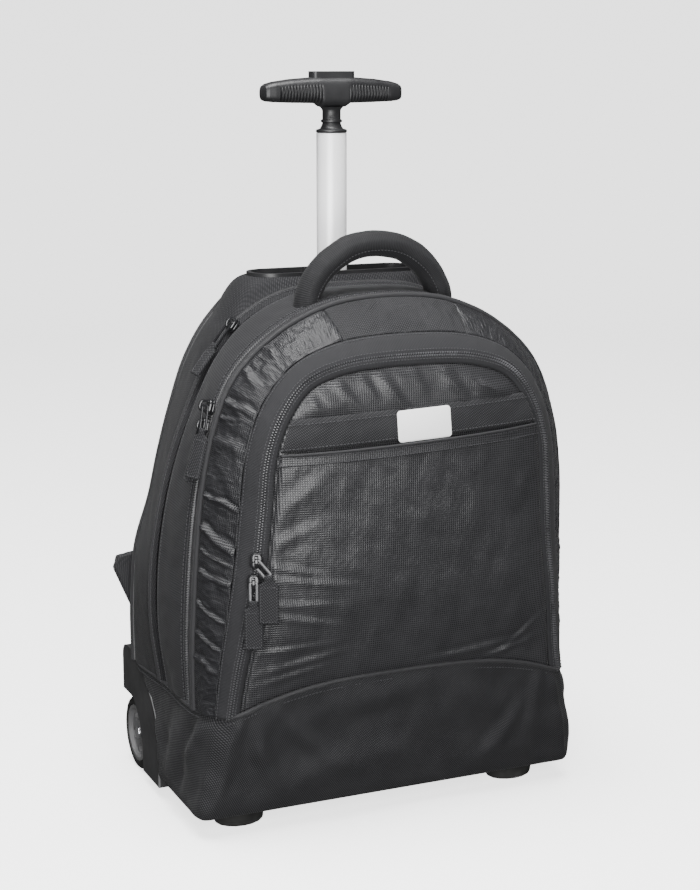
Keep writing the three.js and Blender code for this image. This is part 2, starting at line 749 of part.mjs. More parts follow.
function makeHousing(side, name) {
  const wheelInnerX = wheelOuterX - wheelWidth;
  const block = sidePlate(housingOutline(0), side, housingInnerX, housingOuterX);
  const cheekTop = wheelRadius + 24;
  const cheekBack = axleY + 12;
  const fenderTop = 2 * wheelRadius + fenderCover;
  const innerCheek = new THREE.Shape([
    new THREE.Vector2(axleY - wheelRadius - fenderCover, 12),
    new THREE.Vector2(axleY - 12, 12),
    new THREE.Vector2(cheekBack, wheelRadius - 12),
    new THREE.Vector2(cheekBack, cheekTop),
    new THREE.Vector2(axleY + 10, fenderTop),
    new THREE.Vector2(axleY - wheelRadius - fenderCover, fenderTop),
  ]);
  const fenderEdge = new THREE.Shape([
    new THREE.Vector2(axleY - wheelRadius - fenderCover, 10),
    new THREE.Vector2(axleY - 33, 10),
    new THREE.Vector2(axleY - 33, 30),
    new THREE.Vector2(axleY - 30, 48),
    new THREE.Vector2(axleY - 19, 62),
    new THREE.Vector2(axleY - 7, 71),
    new THREE.Vector2(axleY - 7, fenderTop),
    new THREE.Vector2(axleY - wheelRadius - fenderCover, fenderTop),
  ]);
  const inner = sidePlate(innerCheek, side, housingInnerX, wheelInnerX - wheelGap);
  const outer = sidePlate(fenderEdge, side, wheelOuterX + fenderGap, housingOuterX);
  const axleHole = axleBody(side, clearance);
  add("wheel_housing_" + name, cut(join(block, inner, outer), axleHole), blackPlastic);
}

function aboutX(geometry, side) {
  geometry.rotateZ(-Math.PI / 2);
  if (side < 0) geometry.rotateY(Math.PI);
  return geometry;
}

function turned(profile, segments) {
  return new THREE.LatheGeometry(profile.map(([r, h]) => new THREE.Vector2(r, h)), segments);
}

// The axle runs out of the housing's inner cheek and ends in a cap outside the wheel.
function axleBody(side, grow) {
  const start = housingInnerX + 6 - grow;
  const face = wheelOuterX - 4;
  const body = turned(
    [
      [0, start],
      [axleRadius + grow, start],
      [axleRadius + grow, face + clearance],
      [axleRadius + 2, face + clearance],
      [axleRadius + 1.5, face + 3],
      [0, face + 3],
    ],
    14,
  );
  return aboutX(body, side).translate(0, axleY, wheelRadius);
}

function makeWheel(side, name) {
  const inner = wheelOuterX - wheelWidth;
  const edge = 4;
  const tyre = turned(
    [
      [hubRadius + clearance, inner],
      [wheelRadius - edge, inner],
      [wheelRadius, inner + edge],
      [wheelRadius, wheelOuterX - edge],
      [wheelRadius - edge, wheelOuterX],
      [hubRadius + clearance, wheelOuterX],
      [hubRadius + clearance, inner],
    ],
    wheelSides,
  );
  add("tyre_" + name, aboutX(tyre, side).translate(0, axleY, wheelRadius), rubber);

  const bore = axleRadius + clearance;
  const face = wheelOuterX - 4;
  const hub = turned(
    [
      [bore, inner + 1],
      [hubRadius, inner + 1],
      [hubRadius, wheelOuterX - 0.5],
      [hubRadius - 3, wheelOuterX - 0.5],
      [hubRadius - 5, wheelOuterX - 4],
      [axleRadius + 5, wheelOuterX - 5],
      [axleRadius + 4, face],
      [bore, face],
      [bore, inner + 1],
    ],
    wheelSides,
  );
  const pockets = Array.from({ length: hubHoles }, (_, i) => {
    const angle = (2 * Math.PI * i) / hubHoles + 0.3;
    const pocket = new THREE.CylinderGeometry(hubHoleRadius, hubHoleRadius, 2 * hubHoleDepth, 8);
    const across = hubHoleCircle * Math.cos(angle);
    return pocket.translate(across, wheelOuterX - 2, hubHoleCircle * Math.sin(angle));
  });
  const drilled = cut(hub, ...pockets);
  add("hub_" + name, aboutX(drilled, side).translate(0, axleY, wheelRadius), blackPlastic);
  add("axle_" + name, axleBody(side, 0), blackMetal);
}

function makeFoot(side, name) {
  const top = floorGap - clearance;
  const foot = turned(
    [
      [0, 0],
      [0.42, 0],
      [0.47, 2],
      [0.5, top - 3],
      [0.46, top],
      [0, top],
    ].map(([r, h]) => [r * footLength, h]),
    16,
  );
  foot.rotateX(Math.PI / 2).scale(1, footDepth / footLength, 1);
  add("foot_" + name, foot.translate(side * footX, footY, 0), rubber);
}

function ovalTube(width, depth, bottom, top) {
  const tube = extrude(ellipseShape(width, depth), top - bottom, 8);
  return tube.translate(0, tubeY, bottom);
}

function tubePassage(bottom, top) {
  return ovalTube(tubeWidth + 4 * sleeveFit, tubeDepth + 4 * sleeveFit, bottom, top);
}

function makeSlidingHandle() {
  const trayBottom = bagHeight - 6;
  const tray = extrude(roundedShape(trayLength, trayDepth, trayDepth / 2 - 1), trayTop - trayBottom, 5);
  tray.translate(0, tubeY, trayBottom);
  const recessLength = trayLength - 2 * trayRim;
  const recessDepth = trayDepth - 2 * trayRim;
  const recess = extrude(roundedShape(recessLength, recessDepth, recessDepth / 2 - 1), trayHeight, 5);
  recess.translate(0, tubeY, trayTop - trayRecess);
  const passage = tubePassage(trayBottom - 5, trayTop + 5);
  add("handle_tray", cut(tray, recess, passage, bagVolume(2 * clearance)), blackPlastic);

  const sleeveTop = bagHeight - clothWall - 1;
  const sleeveBottom = floorGap + clothWall + clearance;
  const boreWidth = tubeWidth + 2 * sleeveFit;
  const boreDepth = tubeDepth + 2 * sleeveFit;
  const sleeve = ovalTube(boreWidth + 2 * sleeveWall, boreDepth + 2 * sleeveWall, sleeveBottom, sleeveTop);
  const sleeveBore = ovalTube(boreWidth, boreDepth, sleeveBottom + sleeveWall, sleeveTop + 1);
  add("handle_sleeve", cut(sleeve, sleeveBore), blackPlastic);

  const tubeBottom = tubeTop - tubeLength;
  const tube = ovalTube(tubeWidth, tubeDepth, tubeBottom, tubeTop);
  const tubeInside = [tubeWidth - 2 * tubeWall, tubeDepth - 2 * tubeWall];
  add("handle_tube", cut(tube, ovalTube(...tubeInside, tubeBottom - 1, tubeTop + 1)), aluminium);

  const collar = tubeWidth / 2 + sleeveFit / 2;
  const neck = turned(
    [
      [0, 0],
      [collar, 0],
      [collar, 2.5],
      [collar - 3, 4],
      [neckRadius, 7],
      [neckRadius, 10],
      [neckRadius + 1.2, 11],
      [neckRadius + 1.2, 13],
      [neckRadius, 14],
      [neckRadius + 0.3, neckLength - 4],
      [neckRadius + 2.5, neckLength],
      [0, neckLength],
    ],
    16,
  );
  neck.rotateX(Math.PI / 2).scale(1, (tubeDepth + sleeveFit) / (tubeWidth + sleeveFit), 1);
  add("handle_neck", neck.translate(0, tubeY, tubeTop + clearance), blackPlastic);
  makeGrip();
}

// The T-grip's half, from its middle to its end: shares of its length, height and depth.
const gripSections = [
  { along: 0, top: 1, bottom: 0, depth: 1 },
  { along: 0.12, top: 1, bottom: 0.0, depth: 1 },
  { along: 0.3, top: 0.985, bottom: 0.02, depth: 0.94 },
  { along: 0.6, top: 0.93, bottom: 0.05, depth: 0.88 },
  { along: 0.85, top: 0.84, bottom: 0.07, depth: 0.8 },
  { along: 0.96, top: 0.74, bottom: 0.1, depth: 0.7 },
  { along: 1, top: 0.6, bottom: 0.24, depth: 0.45 },
];

function makeGrip() {
  const ring = (row, side) => {
    const low = gripBottom + row.bottom * gripHeight;
    const high = gripBottom + row.top * gripHeight;
    const sides = 12;
    return Array.from({ length: sides }, (_, i) => {
      const angle = (2 * Math.PI * (i + 0.5)) / sides;
      const soften = (v) => Math.sign(v) * Math.abs(v) ** 0.65;
      const y = (soften(Math.cos(angle)) * row.depth * gripDepth) / 2;
      const z = (low + high) / 2 + (soften(Math.sin(angle)) * (high - low)) / 2;
      return new THREE.Vector3((side * row.along * gripLength) / 2, tubeY + y, z);
    });
  };
  const left = gripSections.slice(1).reverse().map((row) => ring(row, -1));
  const right = gripSections.map((row) => ring(row, 1));
  const gripTop = gripBottom + gripHeight;
  const bodyHeight = gripHeight / 2 + buttonShown;
  const buttonBottom = gripTop + buttonShown - bodyHeight;
  const pocketDepth = bodyHeight + buttonTravel + clearance;
  const pocket = extrude(
    roundedShape(buttonWidth + 2 * clearance, buttonDepth + 2 * clearance, 4 + clearance),
    pocketDepth,
    4,
  ).translate(0, tubeY, buttonBottom - buttonTravel - clearance);
  add("t_grip", cut(ringBody([...left, ...right]), pocket), blackPlastic);
  const button = extrude(roundedShape(buttonWidth, buttonDepth, 4), bodyHeight, 4);
  add("release_button", button.translate(0, tubeY, buttonBottom), blackPlastic);
}

function makeCarryHandle() {
  const half = carrySpan / 2;
  const foot = bagHeight - 14;
  const top = bagHeight + carryRise - carryThickness / 2;
  const path = new THREE.CatmullRomCurve3(
    [
      [-1.0, 0.0],
      [-0.97, 0.28],
      [-0.75, 0.66],
      [-0.38, 0.93],
      [0.0, 1.0],
      [0.38, 0.93],
      [0.75, 0.66],
      [0.97, 0.28],
      [1.0, 0.0],
    ].map(([across, up]) => new THREE.Vector3(across * half, carryY, foot + up * (top - foot))),
    false,
    "centripetal",
  );
  const section = ellipseShape(carryDepth, carryThickness);
  const handle = new THREE.ExtrudeGeometry(section, {
    steps: 20,
    extrudePath: path,
    bevelEnabled: false,
    curveSegments: 5,
  });
  add("carry_handle", cut(handle, bagVolume(2 * clearance)), cloth);
}

// The padded strap's middle line on the back: across as a share of the bag's half width, up as a
// share of the height above the boot, and its width as a share of the widest.
const strapLine = [
  { across: 0.2, up: 0.93, width: 0.8 },
  { across: 0.24, up: 0.84, width: 0.95 },
  { across: 0.32, up: 0.72, width: 1 },
  { across: 0.39, up: 0.6, width: 1 },
  { across: 0.44, up: 0.48, width: 0.95 },
  { across: 0.47, up: 0.39, width: 0.8 },
  { across: 0.49, up: 0.33, width: 0.55 },
];

function makeStraps(side, name) {
  const startY = backY + clearance;
  const rows = strapLine.map((row) => ({
    x: side * row.across * halfWidth,
    z: bootTop + row.up * upperHeight,
    half: (row.width * strapWidth) / 2,
  }));
  const section = [
    [-1, 0],
    [-1, 0.55],
    [-0.85, 1],
    [0.85, 1],
    [1, 0.55],
    [1, 0],
  ];
  const rings = rows.map((row) =>
    section.map(([a, d]) => new THREE.Vector3(row.x + a * row.half, startY + d * strapThickness, row.z)),
  );
  add("shoulder_strap_" + name, ringBody(rings), cloth);

  const end = rows[rows.length - 1];
  const tipX = side * wingReach;
  const wingTop = bootTop + 0.31 * upperHeight;
  const wingLow = bootTop + 0.145 * upperHeight;
  const wingFrontY = backY + clearance;
  const wing = extrude(
    new THREE.Shape([
      new THREE.Vector2(side * (halfWidth - wingInset), wingTop - wingTopDrop),
      new THREE.Vector2(tipX - side * wingCornerInset, wingTop - wingCornerDrop),
      new THREE.Vector2(tipX, wingTop - wingTipDrop),
      new THREE.Vector2(side * (halfWidth - wingFootInset), wingLow),
      new THREE.Vector2(side * (halfWidth - wingInset), wingLow),
    ]),
    wingThickness,
  );
  wing.rotateX(Math.PI / 2).translate(0, wingFrontY + wingThickness, 0);
  add("strap_wing_" + name, wing, webbing);

  const webTop = end.z - clearance;
  const webEndX = side * (halfWidth - wingInset - clearance);
  const webEndZ = (wingTop + wingLow) / 2;
  const web = extrude(
    new THREE.Shape([
      new THREE.Vector2(end.x - (side * webbingWidth) / 2, webTop),
      new THREE.Vector2(end.x + (side * webbingWidth) / 2, webTop),
      new THREE.Vector2(webEndX, webEndZ + webbingWidth / 2),
      new THREE.Vector2(webEndX, webEndZ - webbingWidth / 2),
      new THREE.Vector2(end.x, webTop - webbingWidth),
    ]),
    webbingThickness,
  );
  web.rotateX(Math.PI / 2).translate(0, startY + webbingThickness, 0);
  add("strap_webbing_" + name, web, webbing);
}

// Zip pulls: the zip each hangs on, its station along the arch, its tilt in degrees, how much
// higher its slider stands, and the lengths of its link and tab with the tab's width.
const pulls = [
  {
    name: "rear_zip_pull", zip: "rear", station: 0.345, tilt: 0, rise: 0,
    link: 26, tab: 30, wide: 10,
  },
  {
    name: "main_zip_pull_upper", zip: "main", station: 0.3, tilt: 7, rise: 5,
    link: 14, tab: 42, wide: 13,
  },
  {
    name: "main_zip_pull_lower", zip: "main", station: 0.282, tilt: -6, rise: 0,
    link: 14, tab: 44, wide: 9,
  },
  {
    name: "pocket_zip_pull_upper", zip: "pocket", station: 0.2, tilt: 18, rise: 0,
    link: 18, tab: 40, wide: 15,
  },
  {
    name: "pocket_zip_pull_lower", zip: "pocket", station: 0.16, tilt: 0, rise: 0,
    link: 16, tab: 38, wide: 14,
  },
];

function pullPlace(zip, s) {
  const tapeMiddle = mainZipY + pipingRadius + clearance + mainTapeWidth / 2;
  const below = s - pullHang;
  const places = {
    rear: { at: clothPoint("rear", "main", rearZipY, s, clothWall), out: archInward("rear", below) },
    main: { at: clothPoint("rear", "main", tapeMiddle, s), out: archInward("main", below) },
    pocket: { at: archPoint("pocket", s), out: archInward("pocket", s).setY(2.5).normalize() },
  };
  return places[zip];
}

function makePull(pull) {
  const { at, out } = pullPlace(pull.zip, pull.station);
  out.multiplyScalar(-1);
  const up = new THREE.Vector3(0, 0, 1);
  const side = new THREE.Vector3().crossVectors(up, out).normalize();
  up.crossVectors(out, side).normalize();
  const frame = new THREE.Matrix4().makeBasis(side, up, out).setPosition(at);
  const tilt = new THREE.Matrix4().makeRotationZ(THREE.MathUtils.degToRad(pull.tilt));
  const place = (geometry) => geometry.applyMatrix4(tilt).applyMatrix4(frame);
  const lift = coilLift + coilRadius + clearance;
  const slider = extrude(roundedShape(8, 11, 2), 4 + pull.rise, 1).translate(0, 0, lift);
  const link = extrude(roundedShape(6, pull.link, 2), 1.6, 1);
  link.translate(0, 2 - pull.link / 2, lift + 3 + pull.rise);
  add(pull.name, place(join(slider, link)), blackMetal);
  const tab = extrude(roundedShape(pull.wide, pull.tab, 2), 2.4, 1);
  tab.translate(0, 2 - pull.link - clearance - pull.tab / 2, lift + 2.6 + pull.rise);
  add(pull.name + "_tab", place(tab), webbing);
}

makeRearCompartment();
makeMainCompartment();
makeFrontPocket();
makeLabel();
makeBoot();
makeSlidingHandle();
makeCarryHandle();
for (const [side, name] of [
  [-1, "left"],
  [1, "right"],
]) {
  makeHousing(side, name);
  makeWheel(side, name);
  makeFoot(side, name);
  makeStraps(side, name);
}
pulls.forEach(makePull);

// The origin is the middle of the whole part's box, on the ground.
const wholeBox = new THREE.Box3().setFromObject(bag, true);
const middle = wholeBox.getCenter(new THREE.Vector3());
bag.position.set(-middle.x, -middle.y, -wholeBox.min.z);
const part = new THREE.Group();
part.add(bag);

export default part;
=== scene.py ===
import math

import bpy
import numpy as np
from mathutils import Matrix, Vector
from mathutils.kdtree import KDTree


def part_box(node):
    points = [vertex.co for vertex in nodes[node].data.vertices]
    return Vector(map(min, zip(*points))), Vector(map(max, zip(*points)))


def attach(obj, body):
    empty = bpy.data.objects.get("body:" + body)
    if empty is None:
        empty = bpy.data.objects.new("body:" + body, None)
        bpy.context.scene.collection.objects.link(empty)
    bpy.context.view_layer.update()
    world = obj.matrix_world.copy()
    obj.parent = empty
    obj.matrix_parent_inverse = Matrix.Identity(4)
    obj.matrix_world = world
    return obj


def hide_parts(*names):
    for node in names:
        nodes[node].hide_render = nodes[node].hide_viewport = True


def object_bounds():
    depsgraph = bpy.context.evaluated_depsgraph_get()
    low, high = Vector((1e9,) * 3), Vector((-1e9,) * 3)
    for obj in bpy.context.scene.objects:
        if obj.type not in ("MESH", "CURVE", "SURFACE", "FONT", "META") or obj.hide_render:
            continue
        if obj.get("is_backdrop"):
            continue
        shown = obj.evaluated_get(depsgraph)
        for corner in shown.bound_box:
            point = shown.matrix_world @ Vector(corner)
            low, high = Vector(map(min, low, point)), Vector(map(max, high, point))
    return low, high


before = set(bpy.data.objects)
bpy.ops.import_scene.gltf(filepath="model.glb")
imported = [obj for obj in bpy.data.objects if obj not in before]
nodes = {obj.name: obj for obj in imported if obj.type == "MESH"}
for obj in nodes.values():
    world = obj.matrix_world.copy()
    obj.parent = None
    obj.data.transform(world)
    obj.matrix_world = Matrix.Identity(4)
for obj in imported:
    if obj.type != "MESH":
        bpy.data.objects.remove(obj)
cad_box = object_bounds()

# The bag
BAG_WIDTH = 374.0
BAG_HEIGHT = 449.0
BOOT_TOP = 112.0
FLOOR_GAP = 17.0
REAR_ZIP_Y = 12.0
REAR_DEPTH = 80.0
MAIN_DEPTH = 72.0
POCKET_DEPTH = 45.0
POCKET_HEIGHT = 293.0
FACE_BULGE = 11.0
BACK_PADDING = 8.0
GUSSET_PUFF = 4.0
RIGHT_SLIMMING = 0.055
SLIMMEST_Z = 145.0
SLIM_TOP_Z = 340.0
POCKET_SET_BACK = 8.0
CLEARANCE = 0.3
CLOTH = 1.4

# Zips and piping
GROOVE_HALF = 7.0
MAIN_TAPE_WIDTH = 14.0
POCKET_TAPE_SHARE = 0.7
POCKET_TAPE_FACE = 9.0
PIPING_RADIUS = 2.6
TOOTH_PITCH = 1.9

# Boot and front panels
BOOT_BOTTOM_HALF = 179.0
BOOT_FRONT_BOTTOM_Y = -77.0
BOOT_ARCH_RISE = 25.0
BAND_LOW_Z = 337.0
BAND_HIGH_Z = 361.0
BAND_SLOPE = 0.035
SLIP_GAP = 6.5
LAYER_GAP = 3.1
LABEL_SIZE = (48.0, 26.0)
LABEL_X = 6.0

# Handles
CARRY_SPAN = 122.0
CARRY_RISE = 50.0
CARRY_SECTION = (24.0, 22.0)
CARRY_Y = -32.0
TUBE_Y = 56.5
TUBE_SIZE = (27.0, 23.0)
TUBE_WALL = 1.2
TRAY_LENGTH = 158.0
TRAY_DEPTH = 44.0
GRIP_LENGTH = 130.0
GRIP_HEIGHT = 25.0
GRIP_DEPTH = 25.0

# Wheels
WHEEL_RADIUS = 34.0
WHEEL_OUTER_X = 175.0
WHEEL_WIDTH = 24.0
HUB_RADIUS = 26.0
AXLE_BEHIND_BACK = 15.0
HOUSING_INNER_X = 124.0
HOUSING_OUTER_X = 179.0
TYRE_SEGMENTS = 84
# The wheel housing's front edge seen from the side, traced by a cord of the light hub plastic: its light
# colour is a painted highlight of that edge.
FENDER_HIGHLIGHT_CORD = [(62, 99), (44, 88.5), (29, 70), (24.6, 52), (26, 30), (27.4, 11)]

HALF_WIDTH = BAG_WIDTH / 2
UPPER_HEIGHT = BAG_HEIGHT - BOOT_TOP
BACK_Y = REAR_ZIP_Y + REAR_DEPTH
MAIN_ZIP_Y = REAR_ZIP_Y - MAIN_DEPTH
POCKET_ZIP_Y = MAIN_ZIP_Y - POCKET_DEPTH
AXLE_Y = BACK_Y + AXLE_BEHIND_BACK
SHIFT_Y = BACK_Y - 1000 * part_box("back_panel")[1].y
MIDDLE = np.array([0.0, 0.0, 230.0])
STATIONS = 361

# Half outlines of the cloth above the boot, from its rim to the top: shares of the half width
# and of the height above the boot (of the pocket's own height for the pocket).
OUTLINES = {
    "back": [
        (0.973, 0.0),
        (0.973, 0.157),
        (0.947, 0.315),
        (0.872, 0.448),
        (0.824, 0.561),
        (0.765, 0.677),
        (0.679, 0.81),
        (0.561, 0.911),
        (0.385, 0.99),
        (0.0, 1.0),
    ],
    "rear": [
        (0.95, 0.0),
        (0.99, 0.157),
        (0.99, 0.291),
        (0.96, 0.43),
        (0.898, 0.573),
        (0.807, 0.706),
        (0.684, 0.84),
        (0.535, 0.929),
        (0.321, 0.985),
        (0.0, 1.0),
    ],
    "main": [
        (0.941, 0.0),
        (0.941, 0.142),
        (0.93, 0.276),
        (0.914, 0.409),
        (0.888, 0.543),
        (0.834, 0.685),
        (0.738, 0.813),
        (0.561, 0.908),
        (0.31, 0.976),
        (0.0, 0.997),
    ],
    "pocket": [
        (0.845, 0.0),
        (0.813, 0.147),
        (0.775, 0.283),
        (0.733, 0.427),
        (0.703, 0.59),
        (0.676, 0.744),
        (0.604, 0.864),
        (0.497, 0.945),
        (0.321, 0.987),
        (0.0, 1.0),
    ],
}

# The boot's half plan from the front's middle to the back's middle: shares of the half width
# and depth at the rim, then of the half width and depth at the bottom.
BOOT_PLAN = [
    (0.0, -0.952, 0.0, -1.0),
    (0.4, -0.952, 0.45, -1.0),
    (0.69, -0.948, 0.82, -0.995),
    (0.822, -0.93, 0.972, -0.97),
    (0.885, -0.77, 0.998, -0.84),
    (0.935, -0.57, 1.0, -0.6),
    (0.944, 0.1, 1.0, 0.1),
    (0.965, 0.85, 1.0, 0.85),
    (0.93, 0.995, 0.95, 0.995),
    (0.5, 1.0, 0.5, 1.0),
    (0.0, 1.0, 0.0, 1.0),
]


def catmull(points, t, closed=False):
    """Points of a centripetal curve through the points, at the shares t of its knots."""
    points = np.asarray(points, float)
    t = np.clip(np.asarray(t, float), 0.0, 1.0)
    count = len(points)
    place = t * (count if closed else count - 1)
    index = np.floor(place).astype(int)
    if closed:
        index = index % count
        weight = place - np.floor(place)
        p0, p1, p2, p3 = (points[(index + k) % count] for k in (-1, 0, 1, 2))
    else:
        index = np.minimum(index, count - 2)
        weight = place - index
        ends = [2 * points[0] - points[1]], [2 * points[-1] - points[-2]]
        padded = np.vstack([ends[0], points, ends[1]])
        p0, p1, p2, p3 = (padded[index + k] for k in (0, 1, 2, 3))
    d0, d1, d2 = (
        np.maximum(np.linalg.norm(b - a, axis=-1, keepdims=True), 1e-6) ** 0.5
        for a, b in ((p0, p1), (p1, p2), (p2, p3))
    )
    t1 = ((p1 - p0) / d0 - (p2 - p0) / (d0 + d1) + (p2 - p1) / d1) * d1
    t2 = ((p2 - p1) / d1 - (p3 - p1) / (d1 + d2) + (p3 - p2) / d2) * d1
    w = weight[..., None]
    square = -3 * p1 + 3 * p2 - 2 * t1 - t2
    cube = 2 * p1 - 2 * p2 + t1 + t2
    return p1 + t1 * w + square * w**2 + cube * w**3


def arch_points(plane):
    """A whole arch from its half outline, from the left foot over the top to the right foot."""
    height = POCKET_HEIGHT if plane == "pocket" else UPPER_HEIGHT
    half = [(x * HALF_WIDTH, BOOT_TOP + z * height) for x, z in OUTLINES[plane]]
    left = [(-x, 0.0, z) for x, z in half]
    right = [(x, 0.0, z) for x, z in reversed(half[:-1])]
    return np.array(left + right)


ARCHES = {plane: arch_points(plane) for plane in OUTLINES}
PLANE_Y = {"back": BACK_Y, "rear": REAR_ZIP_Y, "main": MAIN_ZIP_Y}


def smooth(t):
    t = np.clip(t, 0.0, 1.0)
    return t * t * (3 - 2 * t)


def settled(p):
    """Points of the cloth, slimmer on the bag's right below the shoulder."""
    z = p[..., 2]
    rise = smooth((z - FLOOR_GAP) / (SLIMMEST_Z - FLOOR_GAP))
    slimming = rise * (1 - smooth((z - SLIMMEST_Z) / (SLIM_TOP_Z - SLIMMEST_Z)))
    p = p.copy()
    p[..., 0] *= np.where(p[..., 0] > 0, 1 - RIGHT_SLIMMING * slimming, 1.0)
    return p


def unit(v):
    return v / np.maximum(np.linalg.norm(v, axis=-1, keepdims=True), 1e-9)


def pocket_plane_y(z):
    foot = 1 - smooth(3 * (z - BOOT_TOP) / POCKET_HEIGHT)
    return POCKET_ZIP_Y + POCKET_SET_BACK * foot


def arch(plane, s):
    p = catmull(ARCHES[plane], s)
    p[..., 1] = pocket_plane_y(p[..., 2]) if plane == "pocket" else PLANE_Y[plane]
    return p


def inward(plane, s):
    step = 1e-4
    along = catmull(ARCHES[plane], s + step) - catmull(ARCHES[plane], s - step)
    return unit(np.stack([along[..., 2], 0 * along[..., 0], -along[..., 0]], -1))


def cloth(first, second, y, s, sink=0.0):
    """Points of the cloth between two planes at the depths y, sunk into the bag."""
    s, y = np.broadcast_arrays(np.asarray(s, float), np.asarray(y, float))
    a, b = arch(first, s), arch(second, s)
    share = ((y - a[..., 1]) / (b[..., 1] - a[..., 1]))[..., None]
    direction = unit(inward(first, s) * (1 - share) + inward(second, s) * share)
    return a * (1 - share) + b * share + direction * np.asarray(sink)[..., None]


def front_skin(s, u):
    """The pocket's side cloth: u is 0 at the main piping and 1 at the pocket's zip."""
    s, u = np.broadcast_arrays(np.asarray(s, float), np.asarray(u, float))
    a, b = arch("main", s), arch("pocket", s)
    a[..., 1] -= PIPING_RADIUS + CLEARANCE
    swell = (4 * u * (1 - u) * GUSSET_PUFF)[..., None]
    return a + (b - a) * u[..., None] - inward("main", s) * swell


def rim_height(x):
    reach = OUTLINES["pocket"][0][0] * HALF_WIDTH
    return BOOT_TOP + BOOT_ARCH_RISE * (1 - np.minimum(1.0, np.abs(x / reach)) ** 3.2)


def seated(p):
    p = p.copy()
    p[..., 2] = np.maximum(p[..., 2], rim_height(p[..., 0]) + CLEARANCE)
    return p


def half_width_table():
    s = np.linspace(0, 0.5, 400)
    p = catmull(ARCHES["pocket"], s)
    return p[:, 2], np.abs(p[:, 0])


HALF_Z, HALF_X = half_width_table()


def pocket_half_width(z):
    return np.interp(z, HALF_Z, HALF_X)


def face_y(x, z):
    """How far the pocket's face stands out at a place on the front."""
    side = np.clip(np.abs(x) / np.maximum(1.0, pocket_half_width(z)), 0, 1)
    height = np.clip((z - BOOT_TOP) / POCKET_HEIGHT, 0, 1)
    swell = (1 - side**3) * (1 - np.abs(2 * height - 1) ** 3)
    return pocket_plane_y(z) - FACE_BULGE * swell


def even_stations(points, count):
    """Shares of a curve's knots that are evenly spaced along it."""
    fine = np.linspace(0, 1, 3000)
    length = run_length(catmull(points, fine))
    return np.interp(np.linspace(0, length[-1], count), length, fine)


def run_length(p):
    steps = np.linalg.norm(np.diff(p, axis=0), axis=1)
    return np.concatenate([[0.0], np.cumsum(steps)])


S = even_stations(ARCHES["main"], STATIONS)
S_MM = run_length(arch("main", S))


def ripple(a, b, seed, scale, amount):
    """Uneven relief over cloth coordinates, the same each run."""
    rng = np.random.default_rng(seed)
    total = 0.0
    for octave in range(4):
        angle, phase, other = rng.uniform(0, 2 * math.pi, 3)
        wave = scale / 1.7**octave
        along = a * math.cos(angle) + b * math.sin(angle)
        across = b * math.cos(angle) - a * math.sin(angle)
        bend = 1.4 * np.sin(2 * math.pi * across / (1.9 * wave) + other)
        total = total + np.sin(2 * math.pi * along / wave + phase + bend) / 1.6**octave
    return amount * total / 2


def crinkle(a, u, seed, scale):
    """Thin sharp ridges of about 1 mm, uneven along and across the cloth."""
    return 0.4 - np.minimum(1.0, np.abs(ripple(a, u * 60, seed, scale, 1.6))) ** 0.7


def crease(t):
    """A ridge with a shallower hollow beside it."""
    return np.exp(-(t**2)) - 0.55 * np.exp(-((t - 1.7) ** 2))


def creases(a, b, table):
    """Creases at (a, b), each with a direction in degrees, a length, a width and a height."""
    total = np.zeros(np.broadcast(a, b).shape)
    for a0, b0, degrees, length, width, height in table:
        turn = math.radians(degrees)
        along = (a - a0) * math.cos(turn) + (b - b0) * math.sin(turn)
        across = (b - b0) * math.cos(turn) - (a - a0) * math.sin(turn)
        total = total + height * crease(across / width) * np.exp(-((along / length) ** 2))
    return total


def edge_dip(v, low, high, width, depth):
    return -depth * (np.exp(-(((v - low) / width) ** 2)) + np.exp(-(((high - v) / width) ** 2)))


# Meshes


class Builder:
    """Gathers points, faces and cloth coordinates for one mesh."""

    def __init__(self):
        self.points, self.faces, self.coords, self.count = [], [], [], 0

    def add(self, points, faces, coords=None):
        points = np.asarray(points, float).reshape(-1, 3)
        if coords is None:
            coords = points[:, [0, 2]]
        self.points.append(points)
        self.coords.append(np.asarray(coords, float).reshape(-1, 2))
        start = self.count
        self.faces.extend([tuple(start + i for i in face) for face in faces])
        self.count += len(points)

    def grid(self, grid, coords=None, wrap=False):
        self.add(grid, grid_faces(*grid.shape[:2], wrap), coords)

    def rings(self, rings, coords=None):
        """A closed body through rings of equal counts."""
        rings = np.asarray(rings, float)
        rows, columns = rings.shape[:2]
        faces = grid_faces(rows, columns, True)
        faces.append(tuple(range(columns)))
        faces.append(tuple(reversed(range((rows - 1) * columns, rows * columns))))
        self.add(rings, faces, coords)

    def closed_rings(self, rings):
        """A hollow body through rings of which the last joins the first."""
        rows, columns = rings.shape[:2]
        last = (rows - 1) * columns
        faces = grid_faces(rows, columns, True)
        for j in range(columns):
            k = (j + 1) % columns
            faces.append((last + j, j, k, last + k))
        self.add(rings, faces)


def grid_faces(rows, columns, wrap=False):
    """Quads of a grid; wrap joins the last column to the first."""
    faces = []
    last = columns if wrap else columns - 1
    for i in range(rows - 1):
        for j in range(last):
            k = (j + 1) % columns
            a, b = i * columns, (i + 1) * columns
            faces.append((a + j, b + j, b + k, a + k))
    return faces


